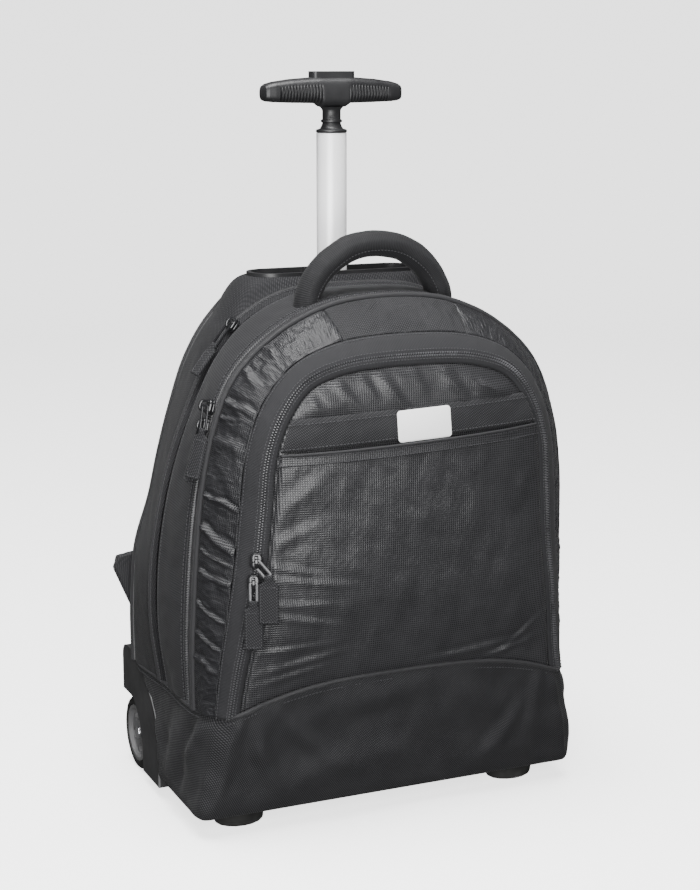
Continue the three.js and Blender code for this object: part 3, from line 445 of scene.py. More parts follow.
def mesh_object(name, builder, look, body="bag", wall=0.0, smooth_angle=40.0, sewn=True):
    """A scene object from a builder, riding on a body; sewn cloth follows the bag's slimming."""
    points = np.vstack(builder.points)
    if sewn and body == "bag":
        points = settled(points)
    mesh = bpy.data.meshes.new(name)
    metres = (points - np.array([0.0, SHIFT_Y, 0.0])) / 1000
    mesh.from_pydata(metres.tolist(), [], builder.faces)
    mesh.update()
    coords = np.vstack(builder.coords)
    values = np.column_stack([coords, np.zeros(len(coords))]).astype(np.float32)
    mesh.attributes.new("cloth", "FLOAT_VECTOR", "POINT").data.foreach_set("vector", values.ravel())
    mesh.polygons.foreach_set("use_smooth", [True] * len(mesh.polygons))
    mesh.set_sharp_from_angle(angle=math.radians(smooth_angle))
    mesh.materials.append(look)
    shape = bpy.data.objects.new(name, mesh)
    bpy.context.scene.collection.objects.link(shape)
    if wall:
        thick = shape.modifiers.new("wall", "SOLIDIFY")
        thick.thickness = wall / 1000
        thick.offset = -1
    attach(shape, body)
    return shape


def faces_out(builder, centre=MIDDLE):
    """Turns a builder's faces if they look towards the centre."""
    points = np.vstack(builder.points)
    sample = builder.faces[:: max(1, len(builder.faces) // 400)]
    score = 0.0
    for face in sample:
        corner = points[list(face)]
        normal = np.cross(corner[1] - corner[0], corner[2] - corner[0])
        score += float(normal @ (corner.mean(0) - centre))
    if score < 0:
        builder.faces = [tuple(reversed(face)) for face in builder.faces]
    return builder


def sheet_piece(name, grid, coords, look, replaced=(), slot=None, wall=CLOTH, centre=MIDDLE, sewn=True):
    builder = Builder()
    builder.grid(grid, coords)
    shape = mesh_object(name, faces_out(builder, centre), look, wall=wall, sewn=sewn)
    return labelled(shape, replaced, slot)


def labelled(shape, replaced=(), slot=None):
    if replaced:
        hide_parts(*replaced)
    return shape


def thread(name, slot, *rows):
    """Rows of stitches as one piece, each with its path, outward direction and sizes."""
    builder = Builder()
    for row in rows:
        stitches(builder, *row)
    labelled(mesh_object(name, builder, LOOKS["thread"]), slot=slot)


def cord(name, paths, up, radius, sides, replaced=(), slot="twill", centre=MIDDLE, sewn=True):
    """Round piping along one or more paths, as one piece."""
    builder = Builder()
    for path in paths:
        sweep(builder, path, up, circle(radius, sides))
    shape = mesh_object(name, faces_out(builder, centre), LOOKS["piping"], sewn=sewn)
    labelled(shape, replaced, slot)


def zip_coil(name, path, up, replaced, **sizes):
    builder = Builder()
    teeth(builder, path, up, **sizes)
    labelled(mesh_object(name, builder, LOOKS["teeth"]), [replaced], "zip_teeth")


def circle(radius, count):
    angle = np.linspace(0, 2 * math.pi, count, endpoint=False)
    return np.column_stack([radius * np.cos(angle), radius * np.sin(angle)])


def sweep(builder, path, up, section):
    """A closed bar with a section (side, up) along a path."""
    path = np.asarray(path, float)
    up = np.broadcast_to(np.asarray(up, float), path.shape)
    tangent = unit(np.gradient(path, axis=0))
    side = unit(np.cross(tangent, up))
    above = np.cross(side, tangent)
    section = np.asarray(section, float)
    rings = (
        path[:, None]
        + section[None, :, 0, None] * side[:, None]
        + section[None, :, 1, None] * above[:, None]
    )
    length = run_length(path)
    girth = np.concatenate([[0.0], np.cumsum(np.linalg.norm(np.diff(section, axis=0), axis=1))])
    coords = np.stack(np.meshgrid(length, girth, indexing="ij"), -1)
    builder.rings(rings, coords)


def resample(path, step, *others):
    """A path's points at even steps, with any other rows that go with them."""
    length = run_length(path)
    count = max(2, int(round(length[-1] / step)))
    places = np.linspace(0, length[-1], count)
    return [
        np.column_stack([np.interp(places, length, rows[:, k]) for k in range(3)])
        for rows in (path, *others)
    ]


def stitches(builder, path, up, pitch=3.4, length=2.3, radius=0.38):
    """A row of sewn stitches lying on a path."""
    points, ups = resample(path, pitch, np.broadcast_to(up, path.shape))
    tangent = unit(np.gradient(points, axis=0))
    side = unit(np.cross(tangent, ups))
    above = np.cross(side, tangent)
    sides = 5
    angle = np.linspace(0, 2 * math.pi, sides, endpoint=False)
    rings = [
        points[:, None]
        + along * length * tangent[:, None]
        + size * radius * np.cos(angle)[None, :, None] * side[:, None]
        + size * radius * (np.sin(angle)[None, :, None] + 0.4) * above[:, None]
        for along, size in ((-0.5, 0.35), (-0.3, 1.0), (0.3, 1.0), (0.5, 0.35))
    ]
    for one in np.stack(rings, 1):
        builder.rings(one)


def teeth(builder, path, up, pitch=TOOTH_PITCH, reach=1.5, width=1.1, height=1.2, gap=0.25):
    """Two rows of a coil zip's teeth, set alternately on both sides of a path."""
    points, ups = resample(path, pitch, np.broadcast_to(up, path.shape))
    tangent = unit(np.gradient(points, axis=0))
    side = unit(np.cross(tangent, ups))
    above = np.cross(side, tangent)
    for sign in (-1, 1):
        shift = points + tangent * (pitch / 4) * sign
        near, far = sign * gap, sign * (gap + reach)
        corners = []
        for rise, scale in ((0.0, 1.0), (height, 0.55)):
            for across, along in ((near, -1), (far, -1), (far, 1), (near, 1)):
                middle = (near + far) / 2
                corners.append(
                    shift
                    + side * (middle + (across - middle) * scale)
                    + tangent * (along * width * scale / 2)
                    + above * rise
                )
        boxes = np.stack(corners, 1)
        faces = [(0, 1, 2, 3), (7, 6, 5, 4), (0, 4, 5, 1), (1, 5, 6, 2), (2, 6, 7, 3), (3, 7, 4, 0)]
        if sign < 0:
            faces = [tuple(reversed(face)) for face in faces]
        for one in boxes:
            builder.add(one, faces)


def rounded_outline(width, height, radius, inset=0.0, corner=6):
    """Corner points of a rounded rectangle, each side moved in by inset."""
    x, y, r = width / 2 - inset, height / 2 - inset, max(radius - inset, 0.05)
    points = []
    for k, (cx, cy) in enumerate(((x - r, y - r), (r - x, y - r), (r - x, r - y), (x - r, r - y))):
        for angle in np.linspace(k * math.pi / 2, (k + 1) * math.pi / 2, corner):
            points.append((cx + r * math.cos(angle), cy + r * math.sin(angle)))
    return np.array(points)


def plate(builder, outline, low, high, bevel, place):
    """A flat piece with rounded edges; outline(inset) gives its corners, place(x, y, z) its place."""
    rings = []
    for inset, z in ((bevel, low), (0.3 * bevel, low + 0.3 * bevel), (0, low + bevel),
                     (0, high - bevel), (0.3 * bevel, high - 0.3 * bevel), (bevel, high)):
        flat = outline(inset)
        rings.append(place(flat[:, 0], flat[:, 1], np.full(len(flat), float(z))))
    flat = outline(0)
    coords = np.tile(flat, (len(rings), 1))
    builder.rings(np.array(rings), coords)


# Materials


class Look:
    """A material built up from nodes."""

    def __init__(self, name, roughness, **sockets):
        self.material = bpy.data.materials.new(name)
        self.material.use_nodes = True
        self.tree = self.material.node_tree
        self.shader = self.tree.nodes["Principled BSDF"]
        self.shader.inputs["Roughness"].default_value = roughness
        for socket, value in sockets.items():
            self.shader.inputs[socket.replace("_", " ")].default_value = value

    def node(self, kind, **settings):
        made = self.tree.nodes.new(kind)
        for key, value in settings.items():
            setattr(made, key, value)
        return made

    def link(self, a, b):
        self.tree.links.new(a, b)
        return b.node

    def math(self, operation, a, b=0.0, c=0.0):
        made = self.node("ShaderNodeMath", operation=operation)
        for socket, value in zip(made.inputs, (a, b, c)):
            if isinstance(value, bpy.types.NodeSocket):
                self.link(value, socket)
            else:
                socket.default_value = value
        return made.outputs[0]

    def cloth_place(self):
        """Millimetres along and across the cloth."""
        return self.node("ShaderNodeAttribute", attribute_name="cloth").outputs["Vector"]

    def solid_place(self, scale=1000.0):
        """Millimetres in the object's own frame."""
        coordinates = self.node("ShaderNodeTexCoord").outputs["Object"]
        grown = self.node("ShaderNodeVectorMath", operation="SCALE")
        grown.inputs["Scale"].default_value = scale
        self.link(coordinates, grown.inputs[0])
        return grown.outputs[0]

    def bands(self, place, direction, pitch):
        """A wave from -1 to 1 across the direction."""
        dot = self.node("ShaderNodeVectorMath", operation="DOT_PRODUCT")
        self.link(place, dot.inputs[0])
        turn = unit(np.array([*direction, 0.0][:3], float)) * 2 * math.pi / pitch
        dot.inputs[1].default_value = turn
        return self.math("SINE", dot.outputs["Value"])

    def noise(self, place, size, detail=2.0, stretch=(1, 1, 1)):
        made = self.node("ShaderNodeTexNoise")
        made.inputs["Scale"].default_value = 1.0 / size
        made.inputs["Detail"].default_value = detail
        stretched = self.node("ShaderNodeVectorMath", operation="MULTIPLY")
        stretched.inputs[1].default_value = stretch
        self.link(place, stretched.inputs[0])
        self.link(stretched.outputs[0], made.inputs["Vector"])
        return made.outputs["Fac"]

    def colour(self, factor, dark, light, low=0.0, high=1.0):
        """The base colour, from dark to light as the factor goes from low to high."""
        ramp = self.node("ShaderNodeValToRGB")
        ramp.color_ramp.elements[0].position = low
        ramp.color_ramp.elements[0].color = (*dark, 1)
        ramp.color_ramp.elements[1].position = high
        ramp.color_ramp.elements[1].color = (*light, 1)
        self.link(factor, ramp.inputs["Fac"])
        self.link(ramp.outputs["Color"], self.shader.inputs["Base Color"])

    def rough(self, factor, low, high):
        spread = self.node("ShaderNodeMapRange")
        spread.inputs["To Min"].default_value = low
        spread.inputs["To Max"].default_value = high
        self.link(factor, spread.inputs["Value"])
        self.link(spread.outputs["Result"], self.shader.inputs["Roughness"])

    def bump(self, height, depth, strength=1.0, under=None):
        """Relief of a depth in millimetres from a height of 0 to 1."""
        made = self.node("ShaderNodeBump")
        made.inputs["Strength"].default_value = strength
        made.inputs["Distance"].default_value = depth / 1000
        self.link(height, made.inputs["Height"])
        if under is not None:
            self.link(under, made.inputs["Normal"])
        self.link(made.outputs["Normal"], self.shader.inputs["Normal"])
        return made.outputs["Normal"]


def half(look, wave):
    return look.math("MULTIPLY_ADD", wave, 0.5, 0.5)


def twill(name, dark, light, pitch=1.7, relief=0.35):
    """Cloth with fine diagonal ribs, broken up by the threads across them."""
    look = Look(name, 0.75, Sheen_Weight=0.04, Sheen_Roughness=0.4, Specular_IOR_Level=0.14)
    place = look.cloth_place()
    ribs = half(look, look.bands(place, (1, 0.8), pitch))
    threads = half(look, look.bands(place, (0.5, -1), pitch * 1.4))
    weave = look.math("MULTIPLY", ribs, look.math("MULTIPLY_ADD", threads, 0.7, 0.3))
    patches = look.noise(place, 38, 3)
    shade = look.math("ADD", look.math("MULTIPLY", weave, 0.75), look.math("MULTIPLY", patches, 0.25))
    look.colour(shade, dark, light, 0.1, 0.8)
    look.rough(weave, 0.75, 0.55)
    soft = look.bump(patches, 0.5)
    look.bump(weave, relief, 0.9, soft)
    return look.material


def ripstop(name, dark, light, pitch=1.9, shine=0.36):
    """Thin shiny cloth with a fine square grid."""
    look = Look(name, 0.36, Sheen_Weight=0.03, Sheen_Roughness=0.35, Specular_IOR_Level=shine)
    place = look.cloth_place()
    across = half(look, look.bands(place, (1, 0), pitch))
    along = half(look, look.bands(place, (0, 1), pitch))
    grid = look.math("MAXIMUM", look.math("POWER", across, 4.0), look.math("POWER", along, 4.0))
    patches = look.noise(place, 24, 4)
    shade = look.math("ADD", look.math("MULTIPLY", grid, 0.6), look.math("MULTIPLY", patches, 0.35))
    look.colour(shade, dark, light, 0.1, 0.8)
    look.rough(grid, 0.26, 0.38)
    crumple = look.noise(place, 11, 3)
    soft = look.bump(crumple, 0.8, 0.6)
    look.bump(grid, 0.18, 0.8, soft)
    return look.material


def ribbed(name, dark, light, pitch=1.3, along=(1, 0), roughness=0.7):
    """Woven tape with ribs across it."""
    look = Look(name, roughness, Sheen_Weight=0.04, Sheen_Roughness=0.5, Specular_IOR_Level=0.18)
    place = look.cloth_place()
    ribs = half(look, look.bands(place, along, pitch))
    fine = half(look, look.bands(place, (-along[1] + 0.5, along[0]), pitch * 0.7))
    weave = look.math("ADD", look.math("MULTIPLY", ribs, 0.7), look.math("MULTIPLY", fine, 0.3))
    look.colour(weave, dark, light)
    look.rough(look.noise(place, 9), roughness - 0.08, roughness + 0.08)
    look.bump(weave, 0.3, 0.7)
    return look.material


def spacer_mesh(name):
    """Open padded mesh with small round cells."""
    look = Look(name, 0.85, Sheen_Weight=0.3, Specular_IOR_Level=0.2)
    place = look.cloth_place()
    cells = look.node("ShaderNodeTexVoronoi", feature="F1")
    cells.inputs["Scale"].default_value = 0.42
    cells.inputs["Randomness"].default_value = 0.25
    look.link(place, cells.inputs["Vector"])
    look.colour(cells.outputs["Distance"], (0.008, 0.008, 0.009), (0.04, 0.04, 0.042), 0.1, 0.6)
    look.bump(cells.outputs["Distance"], 0.8)
    return look.material


def plastic(name, dark, light, roughness=0.42, grain=0.7):
    """Moulded plastic with a fine grain and faint scuffs."""
    look = Look(name, roughness, Specular_IOR_Level=0.45)
    place = look.solid_place()
    look.colour(look.noise(place, 30, 4), dark, light, 0.3, 0.7)
    look.rough(look.noise(place, 9, 4), roughness - 0.08, roughness + 0.1)
    look.bump(look.noise(place, grain, 1), 0.08, 0.5)
    return look.material


def rubber(name):
    look = Look(name, 0.75, Specular_IOR_Level=0.3)
    place = look.solid_place()
    look.colour(look.noise(place, 14, 5), (0.008, 0.008, 0.008), (0.03, 0.03, 0.029), 0.3, 0.8)
    look.bump(look.noise(place, 1.1, 3), 0.15, 0.6)
    return look.material


def metal(name, dark, light, roughness, stretch=(1, 1, 1), metallic=1.0):
    look = Look(name, roughness, Metallic=metallic)
    place = look.solid_place()
    brushed = look.noise(place, 0.5, 2, stretch)
    look.colour(look.noise(place, 40, 3), dark, light, 0.3, 0.7)
    look.rough(brushed, roughness * 0.85, roughness * 1.2)
    look.bump(brushed, 0.02, 0.3)
    return look.material


LOOKS = {
    "twill": twill("twill", (0.006, 0.006, 0.007), (0.03, 0.03, 0.032)),
    "boot": twill("boot_twill", (0.006, 0.006, 0.007), (0.046, 0.046, 0.048), 1.45, 0.3),
    "gusset": ribbed("gusset_cloth", (0.006, 0.006, 0.007), (0.026, 0.026, 0.028), 2.0, roughness=0.8),
    "ripstop": ripstop("ripstop", (0.009, 0.009, 0.01), (0.036, 0.036, 0.038)),
    "crinkled": ripstop("crinkled_ripstop", (0.005, 0.005, 0.006), (0.024, 0.024, 0.026), 1.7, 0.3),
    "tape": ribbed("zip_tape", (0.008, 0.008, 0.009), (0.026, 0.026, 0.028)),
    "webbing": ribbed("webbing", (0.008, 0.008, 0.009), (0.034, 0.034, 0.036), 1.9),
    "tab": twill("tab_webbing", (0.006, 0.006, 0.007), (0.035, 0.035, 0.037), 1.6, 0.4),
    "handle": ribbed("handle_cloth", (0.005, 0.005, 0.006), (0.018, 0.018, 0.019), 1.5),
    "piping": ribbed("piping_cloth", (0.01, 0.01, 0.011), (0.034, 0.034, 0.036), 1.1, (1, 0.6), 0.5),
    "mesh": spacer_mesh("spacer_mesh"),
    "thread": ribbed("thread", (0.03, 0.03, 0.032), (0.075, 0.075, 0.08), 0.5, (1, 0.4), 0.5),
    "teeth": plastic("zip_teeth", (0.04, 0.04, 0.042), (0.09, 0.09, 0.095), 0.28, 0.4),
    "plastic": plastic("moulded_plastic", (0.01, 0.01, 0.011), (0.02, 0.02, 0.021)),
    "housing": plastic("housing_plastic", (0.022, 0.022, 0.023), (0.036, 0.036, 0.037), 0.5),
    "hub": plastic("hub_plastic", (0.1, 0.1, 0.102), (0.15, 0.15, 0.152), 0.4, 0.9),
    "rubber": rubber("tyre_rubber"),
    # The tube's near-white colour with little metal in it is partly the metal's own pale silver and partly
    # a painted reflection of the pale surroundings.
    "tube": metal("silver_tube_painted_reflection", (0.93, 0.93, 0.94), (0.97, 0.97, 0.97), 0.34, (1, 1, 0.02), 0.15),
    "plate": metal("plate_metal", (0.92, 0.92, 0.92), (0.96, 0.96, 0.96), 0.36, (0.05, 1, 1), 0.05),
    "steel": metal("axle_steel", (0.6, 0.6, 0.62), (0.75, 0.75, 0.77), 0.25),
    "black_metal": metal("pull_metal", (0.012, 0.012, 0.013), (0.022, 0.022, 0.024), 0.14, (1, 1, 1), 0.2),
    "grey_metal": metal("link_metal", (0.05, 0.05, 0.052), (0.09, 0.09, 0.094), 0.3, (1, 1, 1), 0.4),
}


# Cloth pieces


def strip(first, second, ys, sinks, relief=None, s=None):
    """A strip across the arch with a profile of depths and sinks, and its coordinates."""
    s = S if s is None else s
    ys, sinks = np.asarray(ys, float), np.asarray(sinks, float)
    along = np.interp(s, S, S_MM)[:, None] + 0 * ys[None]
    across = np.concatenate([[0], np.cumsum(np.hypot(np.diff(ys), np.diff(sinks)))])[None] + 0 * along
    sink = sinks[None] + 0 * along
    if relief is not None:
        sink = sink - relief(along, across)
    grid = cloth(first, second, ys[None], s[:, None], sink)
    return grid, np.stack([along, across], -1)


def rear_gusset():
    back_edge = BACK_Y - BACK_PADDING - CLEARANCE
    groove = REAR_ZIP_Y + GROOVE_HALF
    ys = np.linspace(back_edge, groove + 2 * PIPING_RADIUS, 24)
    width = back_edge - ys[-1]

    def relief(a, b):
        dents = ripple(a, b, 11, 120, 1.6) * np.sin(math.pi * b / width)
        return dents + edge_dip(b, 0, width, 3.0, 1.2) + 1.2 * np.sin(math.pi * b / width)

    stations = even_stations(ARCHES["main"], 2 * STATIONS)
    grid, coords = strip("back", "rear", ys, 0 * ys, relief, stations)
    grid[..., 2] += tray_bed(grid)
    sheet_piece("rear_gusset_cloth", grid, coords, LOOKS["twill"], ["rear_gusset"], "twill")


def tray_bed(p):
    """How far the cloth rises round the tray, to just below its rim."""
    rim = 1000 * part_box("handle_tray")[1].z - 3.0
    radius = TRAY_DEPTH / 2 - 1
    qx = np.abs(p[..., 0]) - TRAY_LENGTH / 2 + radius
    qy = np.abs(p[..., 1] - TUBE_Y) - TRAY_DEPTH / 2 + radius
    outside = np.hypot(np.maximum(qx, 0), np.maximum(qy, 0)) + np.minimum(np.maximum(qx, qy), 0) - radius
    reach = 10 + 24 * smooth((np.abs(p[..., 0]) - 40) / 50)
    fade = np.where(outside > 0, 1 - smooth(outside / reach), 1 - smooth(-outside / 3))
    edges = smooth((BACK_Y - BACK_PADDING - p[..., 1]) / 5) * smooth((p[..., 1] - 25) / 8)
    return np.maximum(rim - p[..., 2], 0) * fade * edges * (p[..., 2] > 380)


COIL = {"pitch": 2.1, "reach": 1.7, "width": 1.2, "height": 1.3}


def rear_zip():
    groove = REAR_ZIP_Y + GROOVE_HALF
    # The corded edge behind the groove, and the flap that hangs from it over the zip.
    path = cloth("back", "rear", groove + PIPING_RADIUS, S, 0.2)
    cord("rear_piping_cord", [path], [0, 1, 0], 2.3, 10, ["rear_piping"])

    ys = groove + np.array([2.0, 1.0, -1.0, -4.0, -7.5, -8.0, -7.4])
    sinks = np.array([0.6, -0.3, -0.2, 0.5, 1.8, 2.3, 2.9])
    ys = np.interp(np.linspace(0, 1, 15), np.linspace(0, 1, 7), ys)
    sinks = np.interp(np.linspace(0, 1, 15), np.linspace(0, 1, 7), sinks)
    grid, coords = strip("back", "rear", ys, sinks, lambda a, b: ripple(a, b, 5, 60, 0.35))
    sheet_piece("rear_zip_flap", grid, coords, LOOKS["twill"], slot="twill", wall=0.9)
    thread("rear_flap_stitches", "twill",
           (cloth("back", "rear", groove - 1.2, S, -0.3), -inward("rear", S)))

    low = REAR_ZIP_Y - GROOVE_HALF
    ys = np.array([groove + 2, groove - 1, groove - 3, REAR_ZIP_Y, low + 3, low + 1, low - 2])
    sinks = np.array([3.0, 3.5, 5.5, 6.0, 5.5, 3.5, 3.0])
    behind = cloth("back", "rear", ys[None, :4], S[:, None], sinks[None, :4] + 0 * S[:, None])
    before = cloth("rear", "main", ys[None, 4:], S[:, None], sinks[None, 4:] + 0 * S[:, None])
    grid = np.concatenate([behind, before], 1)
    coords = np.stack(np.meshgrid(S_MM, np.linspace(0, 24, 7), indexing="ij"), -1)
    sheet_piece("rear_zip_tapes", grid, coords, LOOKS["tape"], ["rear_zip_tape"], "webbing", wall=0.8)
    path = cloth("rear", "main", REAR_ZIP_Y - 1, S, 5.8)
    zip_coil("rear_zip_teeth", path, -inward("rear", S), "rear_zip_coil", **COIL)


def main_gusset():
    low = REAR_ZIP_Y - GROOVE_HALF
    high = MAIN_ZIP_Y + PIPING_RADIUS + CLEARANCE + MAIN_TAPE_WIDTH
    lip_y = [low + 0.6, low + 0.9, low + 0.5, low - 0.6]
    lip_sink = [5.0, 2.4, 0.8, 0.0]
    flat = np.linspace(low - 2.5, high + 0.6, 20)
    ys = np.concatenate([lip_y, flat, [high + 0.1]])
    sinks = np.concatenate([lip_sink, 0 * flat, [1.4]])
    width = low - high

    def relief(a, b):
        inner = b - 5.5
        belly = np.sin(math.pi * np.clip(inner / width, 0, 1))
        return belly * (1.0 + ripple(a, b, 23, 90, 1.3)) + edge_dip(inner, -20, width, 2.0, 0.8)

    grid, coords = strip("rear", "main", ys, sinks, relief)
    sheet_piece("main_gusset_cloth", grid, coords, LOOKS["gusset"], ["main_gusset"], "twill")
    thread("main_gusset_stitches", "twill",
           (cloth("rear", "main", low - 3.2, S, -0.1), -inward("rear", S)),
           (cloth("rear", "main", high + 2.6, S, -0.35), -inward("main", S)))


def main_zip():
    front = MAIN_ZIP_Y + PIPING_RADIUS + CLEARANCE
    back = front + MAIN_TAPE_WIDTH
    middle = (front + back) / 2
    ys = [back, back - 0.4, back - 1.2, middle + 2.4, middle + 1.7, middle + 1.4, middle - 1.4,
          middle - 1.7, middle - 2.4, front + 1.2, front + 0.4, front]
    sinks = [1.6, 0.4, -0.1, -0.25, 0.1, 1.1, 1.1, 0.1, -0.25, -0.1, 0.4, 1.6]
    grid, coords = strip("rear", "main", ys, sinks, lambda a, b: ripple(a, b, 31, 45, 0.25))
    sheet_piece("main_zip_tapes", grid, coords, LOOKS["tape"], ["main_zip_tape"], "webbing", wall=0.9)
    out = -inward("main", S)
    path = cloth("rear", "main", middle, S, 0.3)
    zip_coil("main_zip_teeth", path, out, "main_zip_coil", **COIL)
    thread("main_zip_stitches", "webbing",
           *((cloth("rear", "main", y, S, -0.25), out, 2.6, 1.8, 0.3) for y in (front + 1.6, back - 1.6)))

    wobble = ripple(S_MM, 0 * S_MM, 7, 50, 0.25)[:, None]
    path = cloth("rear", "main", MAIN_ZIP_Y, S, 0.4) + out * wobble
    cord("main_piping_cord", [path], [0, 1, 0], PIPING_RADIUS + 0.2, 12, ["main_piping"])


# Puckers across the pocket's side, by their height on the main piping: that height, how far they
# slant down towards the front, their half width, height and reach.
PUCKERS = [
    (412, -2, 3.4, 1.4, 0.5),
    (394, 2, 4.2, 2.0, 0.9),
    (372, 4, 3.2, 2.2, 1.1),
    (358, -12, 2.2, 1.8, 0.6),
    (341, 4, 4.4, 1.8, 1.0),
    (297, 10, 2.0, 2.2, 1.2),
    (268, 12, 3.4, 2.8, 1.2),
    (250, 2, 1.5, 1.6, 1.2),
    (231, -4, 2.4, 2.0, 1.2),
    (206, 10, 1.6, 1.8, 1.2),
    (180, 9, 1.8, 1.6, 1.2),
    (160, 12, 3.0, 2.0, 0.9),
]
# On the bag's right they sit lower by the first value, at a share of their height.
RIGHT_PUCKERS = (9, 0.35)
TOP_SEAM_Z = 440.5


def station_at(plane, z):
    """The share of the arch's knots where its left side reaches a height."""
    s = np.linspace(0, 0.5, 800)
    return float(np.interp(z, catmull(ARCHES[plane], s)[:, 2], s))


def front_relief(u, a):
    """Puckers and puffs of the pocket's side, in millimetres outward."""
    inside = smooth(u / 0.08) * smooth((POCKET_TAPE_SHARE - u) / 0.04)
    total = ripple(a, u * 60, 41, 70, 1.0)
    total = total + crinkle(a, 0.45 * u, 43, 24) + 0.5 * crinkle(a, 0.8 * u, 44, 11)
    for run, lower, weight in ((a, 0, 1.0), (S_MM[-1] - a, *RIGHT_PUCKERS)):
        for z, slant, width, height, reach in PUCKERS:
            place = np.interp(station_at("main", z - lower), S, S_MM)
            bow = 1.6 * np.sin(z + 6 * u) + 0.5 * np.sin(2 * z + 17 * u)
            narrow = width * (0.75 + 0.5 * u)
            fold = crease((run - place + slant * u + bow) / narrow)
            total = total + weight * height * fold * (1 - smooth((u - 0.5 * reach) / 0.2))
    return total * inside


def front_gusset():
    """The pocket's shiny side cloth, with a coarser twill piece between the seams at its top."""
    u = np.concatenate([[0.0, 0.015], np.linspace(0.035, POCKET_TAPE_SHARE, 26)])
    seam = station_at("main", TOP_SEAM_Z)
    left_seam, right_seam = (seam, seam + 0.008), (1 - seam, 1 - seam - 0.004)
    parts = {
        "left": ((0.0, 0.0), left_seam, LOOKS["crinkled"], "ripstop", 400),
        "middle": (left_seam, right_seam, LOOKS["boot"], "twill", 70),
        "right": (right_seam, (1.0, 1.0), LOOKS["crinkled"], "ripstop", 400),
    }
    for name, (first, last, look, slot, count) in parts.items():
        ends = np.interp([first[0], last[0]], S, S_MM)
        spread = np.interp(np.linspace(*ends, count), S_MM, S)
        share = ((spread - first[0]) / (last[0] - first[0]))[:, None]
        low, high = (np.interp(u, (u[0], u[-1]), pair)[None] for pair in (first, last))
        s = low + (high - low) * share
        a = np.interp(s, S, S_MM)
        across = u[None] + 0 * s
        sunk = 1.6 * np.exp(-((across / 0.035) ** 2))
        if name != "left":
            sunk = sunk + 0.8 * np.exp(-(((a - a[:1]) / 2.0) ** 2))
        if name != "right":
            sunk = sunk + 0.8 * np.exp(-(((a - a[-1:]) / 2.0) ** 2))
        grid = front_skin(s, across) - inward("main", s) * (front_relief(across, a) - sunk)[..., None]
        coords = np.stack([a, across * 62], -1)
        sheet_piece("front_gusset_" + name, seated(grid), coords, look, ["front_gusset"], slot)


def pocket_tape_point(s, share):
    """The pocket's zip tape: share 0 to 1 on the side, 1 to 2 on the face."""
    s, share = np.broadcast_arrays(np.asarray(s, float), np.asarray(share, float))
    start = POCKET_TAPE_SHARE + 0.01
    side = front_skin(s, start + (1 - start) * np.minimum(share, 1))
    inset = np.maximum(share - 1, 0) * POCKET_TAPE_FACE
    face = arch("pocket", s) + inward("pocket", s) * inset[..., None]
    face[..., 1] = face_y(face[..., 0], face[..., 2])
    return seated(np.where((share > 1)[..., None], face, side))


def grid_normals(grid, centre=MIDDLE):
    """Outward directions of a grid's points."""
    along, across = np.gradient(grid, axis=0), np.gradient(grid, axis=1)
    normal = unit(np.cross(along, across))
    sign = np.sign(np.mean(np.sum(normal * (grid - centre), -1)))
    return normal * sign


def pocket_zip():
    share = np.array([0, 0.012, 0.06, 0.35, 0.6, 0.8, 0.88, 0.94, 1.0, 1.08, 1.16, 1.24, 1.32, 1.4, 1.6,
                      1.8, 1.94, 2.0])
    lift = np.array([-1.5, -0.2, 0.3, 0.4, 0.4, 0.4, 0.3, -0.2, -0.5, -0.8, -0.8, -0.6, 0.2, 0.5, 0.4,
                     0.3, -0.3, -1.4])
    base = pocket_tape_point(S[:, None], share[None])
    normals = grid_normals(base)
    wobble = ripple(S_MM[:, None] + 0 * share[None], share[None] * 12 + 0 * S[:, None], 47, 55, 0.35)
    edge = ((share > 0.05) & (share < 1.95))[None]
    grid = base + normals * (lift[None] + wobble * edge)[..., None]
    coords = np.stack(np.meshgrid(S_MM, share * 11, indexing="ij"), -1)
    sheet_piece("pocket_zip_tapes", seated(grid), coords, LOOKS["tape"], ["pocket_zip_tape"], "webbing",
                wall=0.9)
    out = unit(normals[:, 6] + normals[:, 12])
    path = pocket_tape_point(S, 1.11) - out * 0.6
    zip_coil("pocket_zip_teeth", path, out, "pocket_zip_coil", pitch=2.2, reach=1.7, width=1.15, height=1.6)
    rows = []
    for k, place in ((2, 0.12), (6, 0.84), (14, 1.5)):
        path = pocket_tape_point(S, place) + normals[:, k] * 0.4
        rows.append((path, normals[:, k], 2.8, 1.9, 0.34))
    thread("pocket_zip_stitches", "webbing", *rows)


# Creases of the pocket's face above the band and of the slip pocket: x, z, direction in
# degrees, length, half width and height.
FACE_CREASES = [
    (-88, 372, -52, 15, 3.0, 2.4),
    (-66, 384, -50, 22, 3.4, 3.2),
    (-43, 386, -58, 19, 3.0, 2.4),
    (-24, 383, -52, 24, 3.6, 3.2),
    (2, 388, -60, 14, 3.4, 2.2),
    (30, 386, -48, 22, 4.4, 4.0),
    (56, 380, -30, 24, 4.0, 2.4),
    (82, 372, -14, 22, 4.0, 2.0),
    (-100, 355, -35, 12, 2.6, 1.8),
]
SLIP_CREASES = [
    (-98, 300, 40, 30, 6.0, 1.2),
    (-112, 262, 24, 26, 5.0, 1.0),
    (-106, 236, -14, 26, 3.0, 1.2),
    (-96, 226, -8, 32, 3.2, 1.3),
    (-106, 208, -4, 28, 2.6, 1.1),
    (-100, 194, -12, 30, 3.0, 1.2),
    (-110, 170, 3, 26, 2.6, 1.2),
    (-98, 157, 10, 30, 3.2, 1.4),
    (-106, 146, 12, 26, 2.6, 1.2),
    (60, 147, 5, 46, 3.2, 1.4),
    (98, 143, 14, 26, 2.6, 1.8),
    (112, 156, 38, 18, 2.6, 1.5),
    (20, 172, 8, 60, 9.0, 0.5),
    (96, 230, 60, 60, 12.0, 0.6),
]


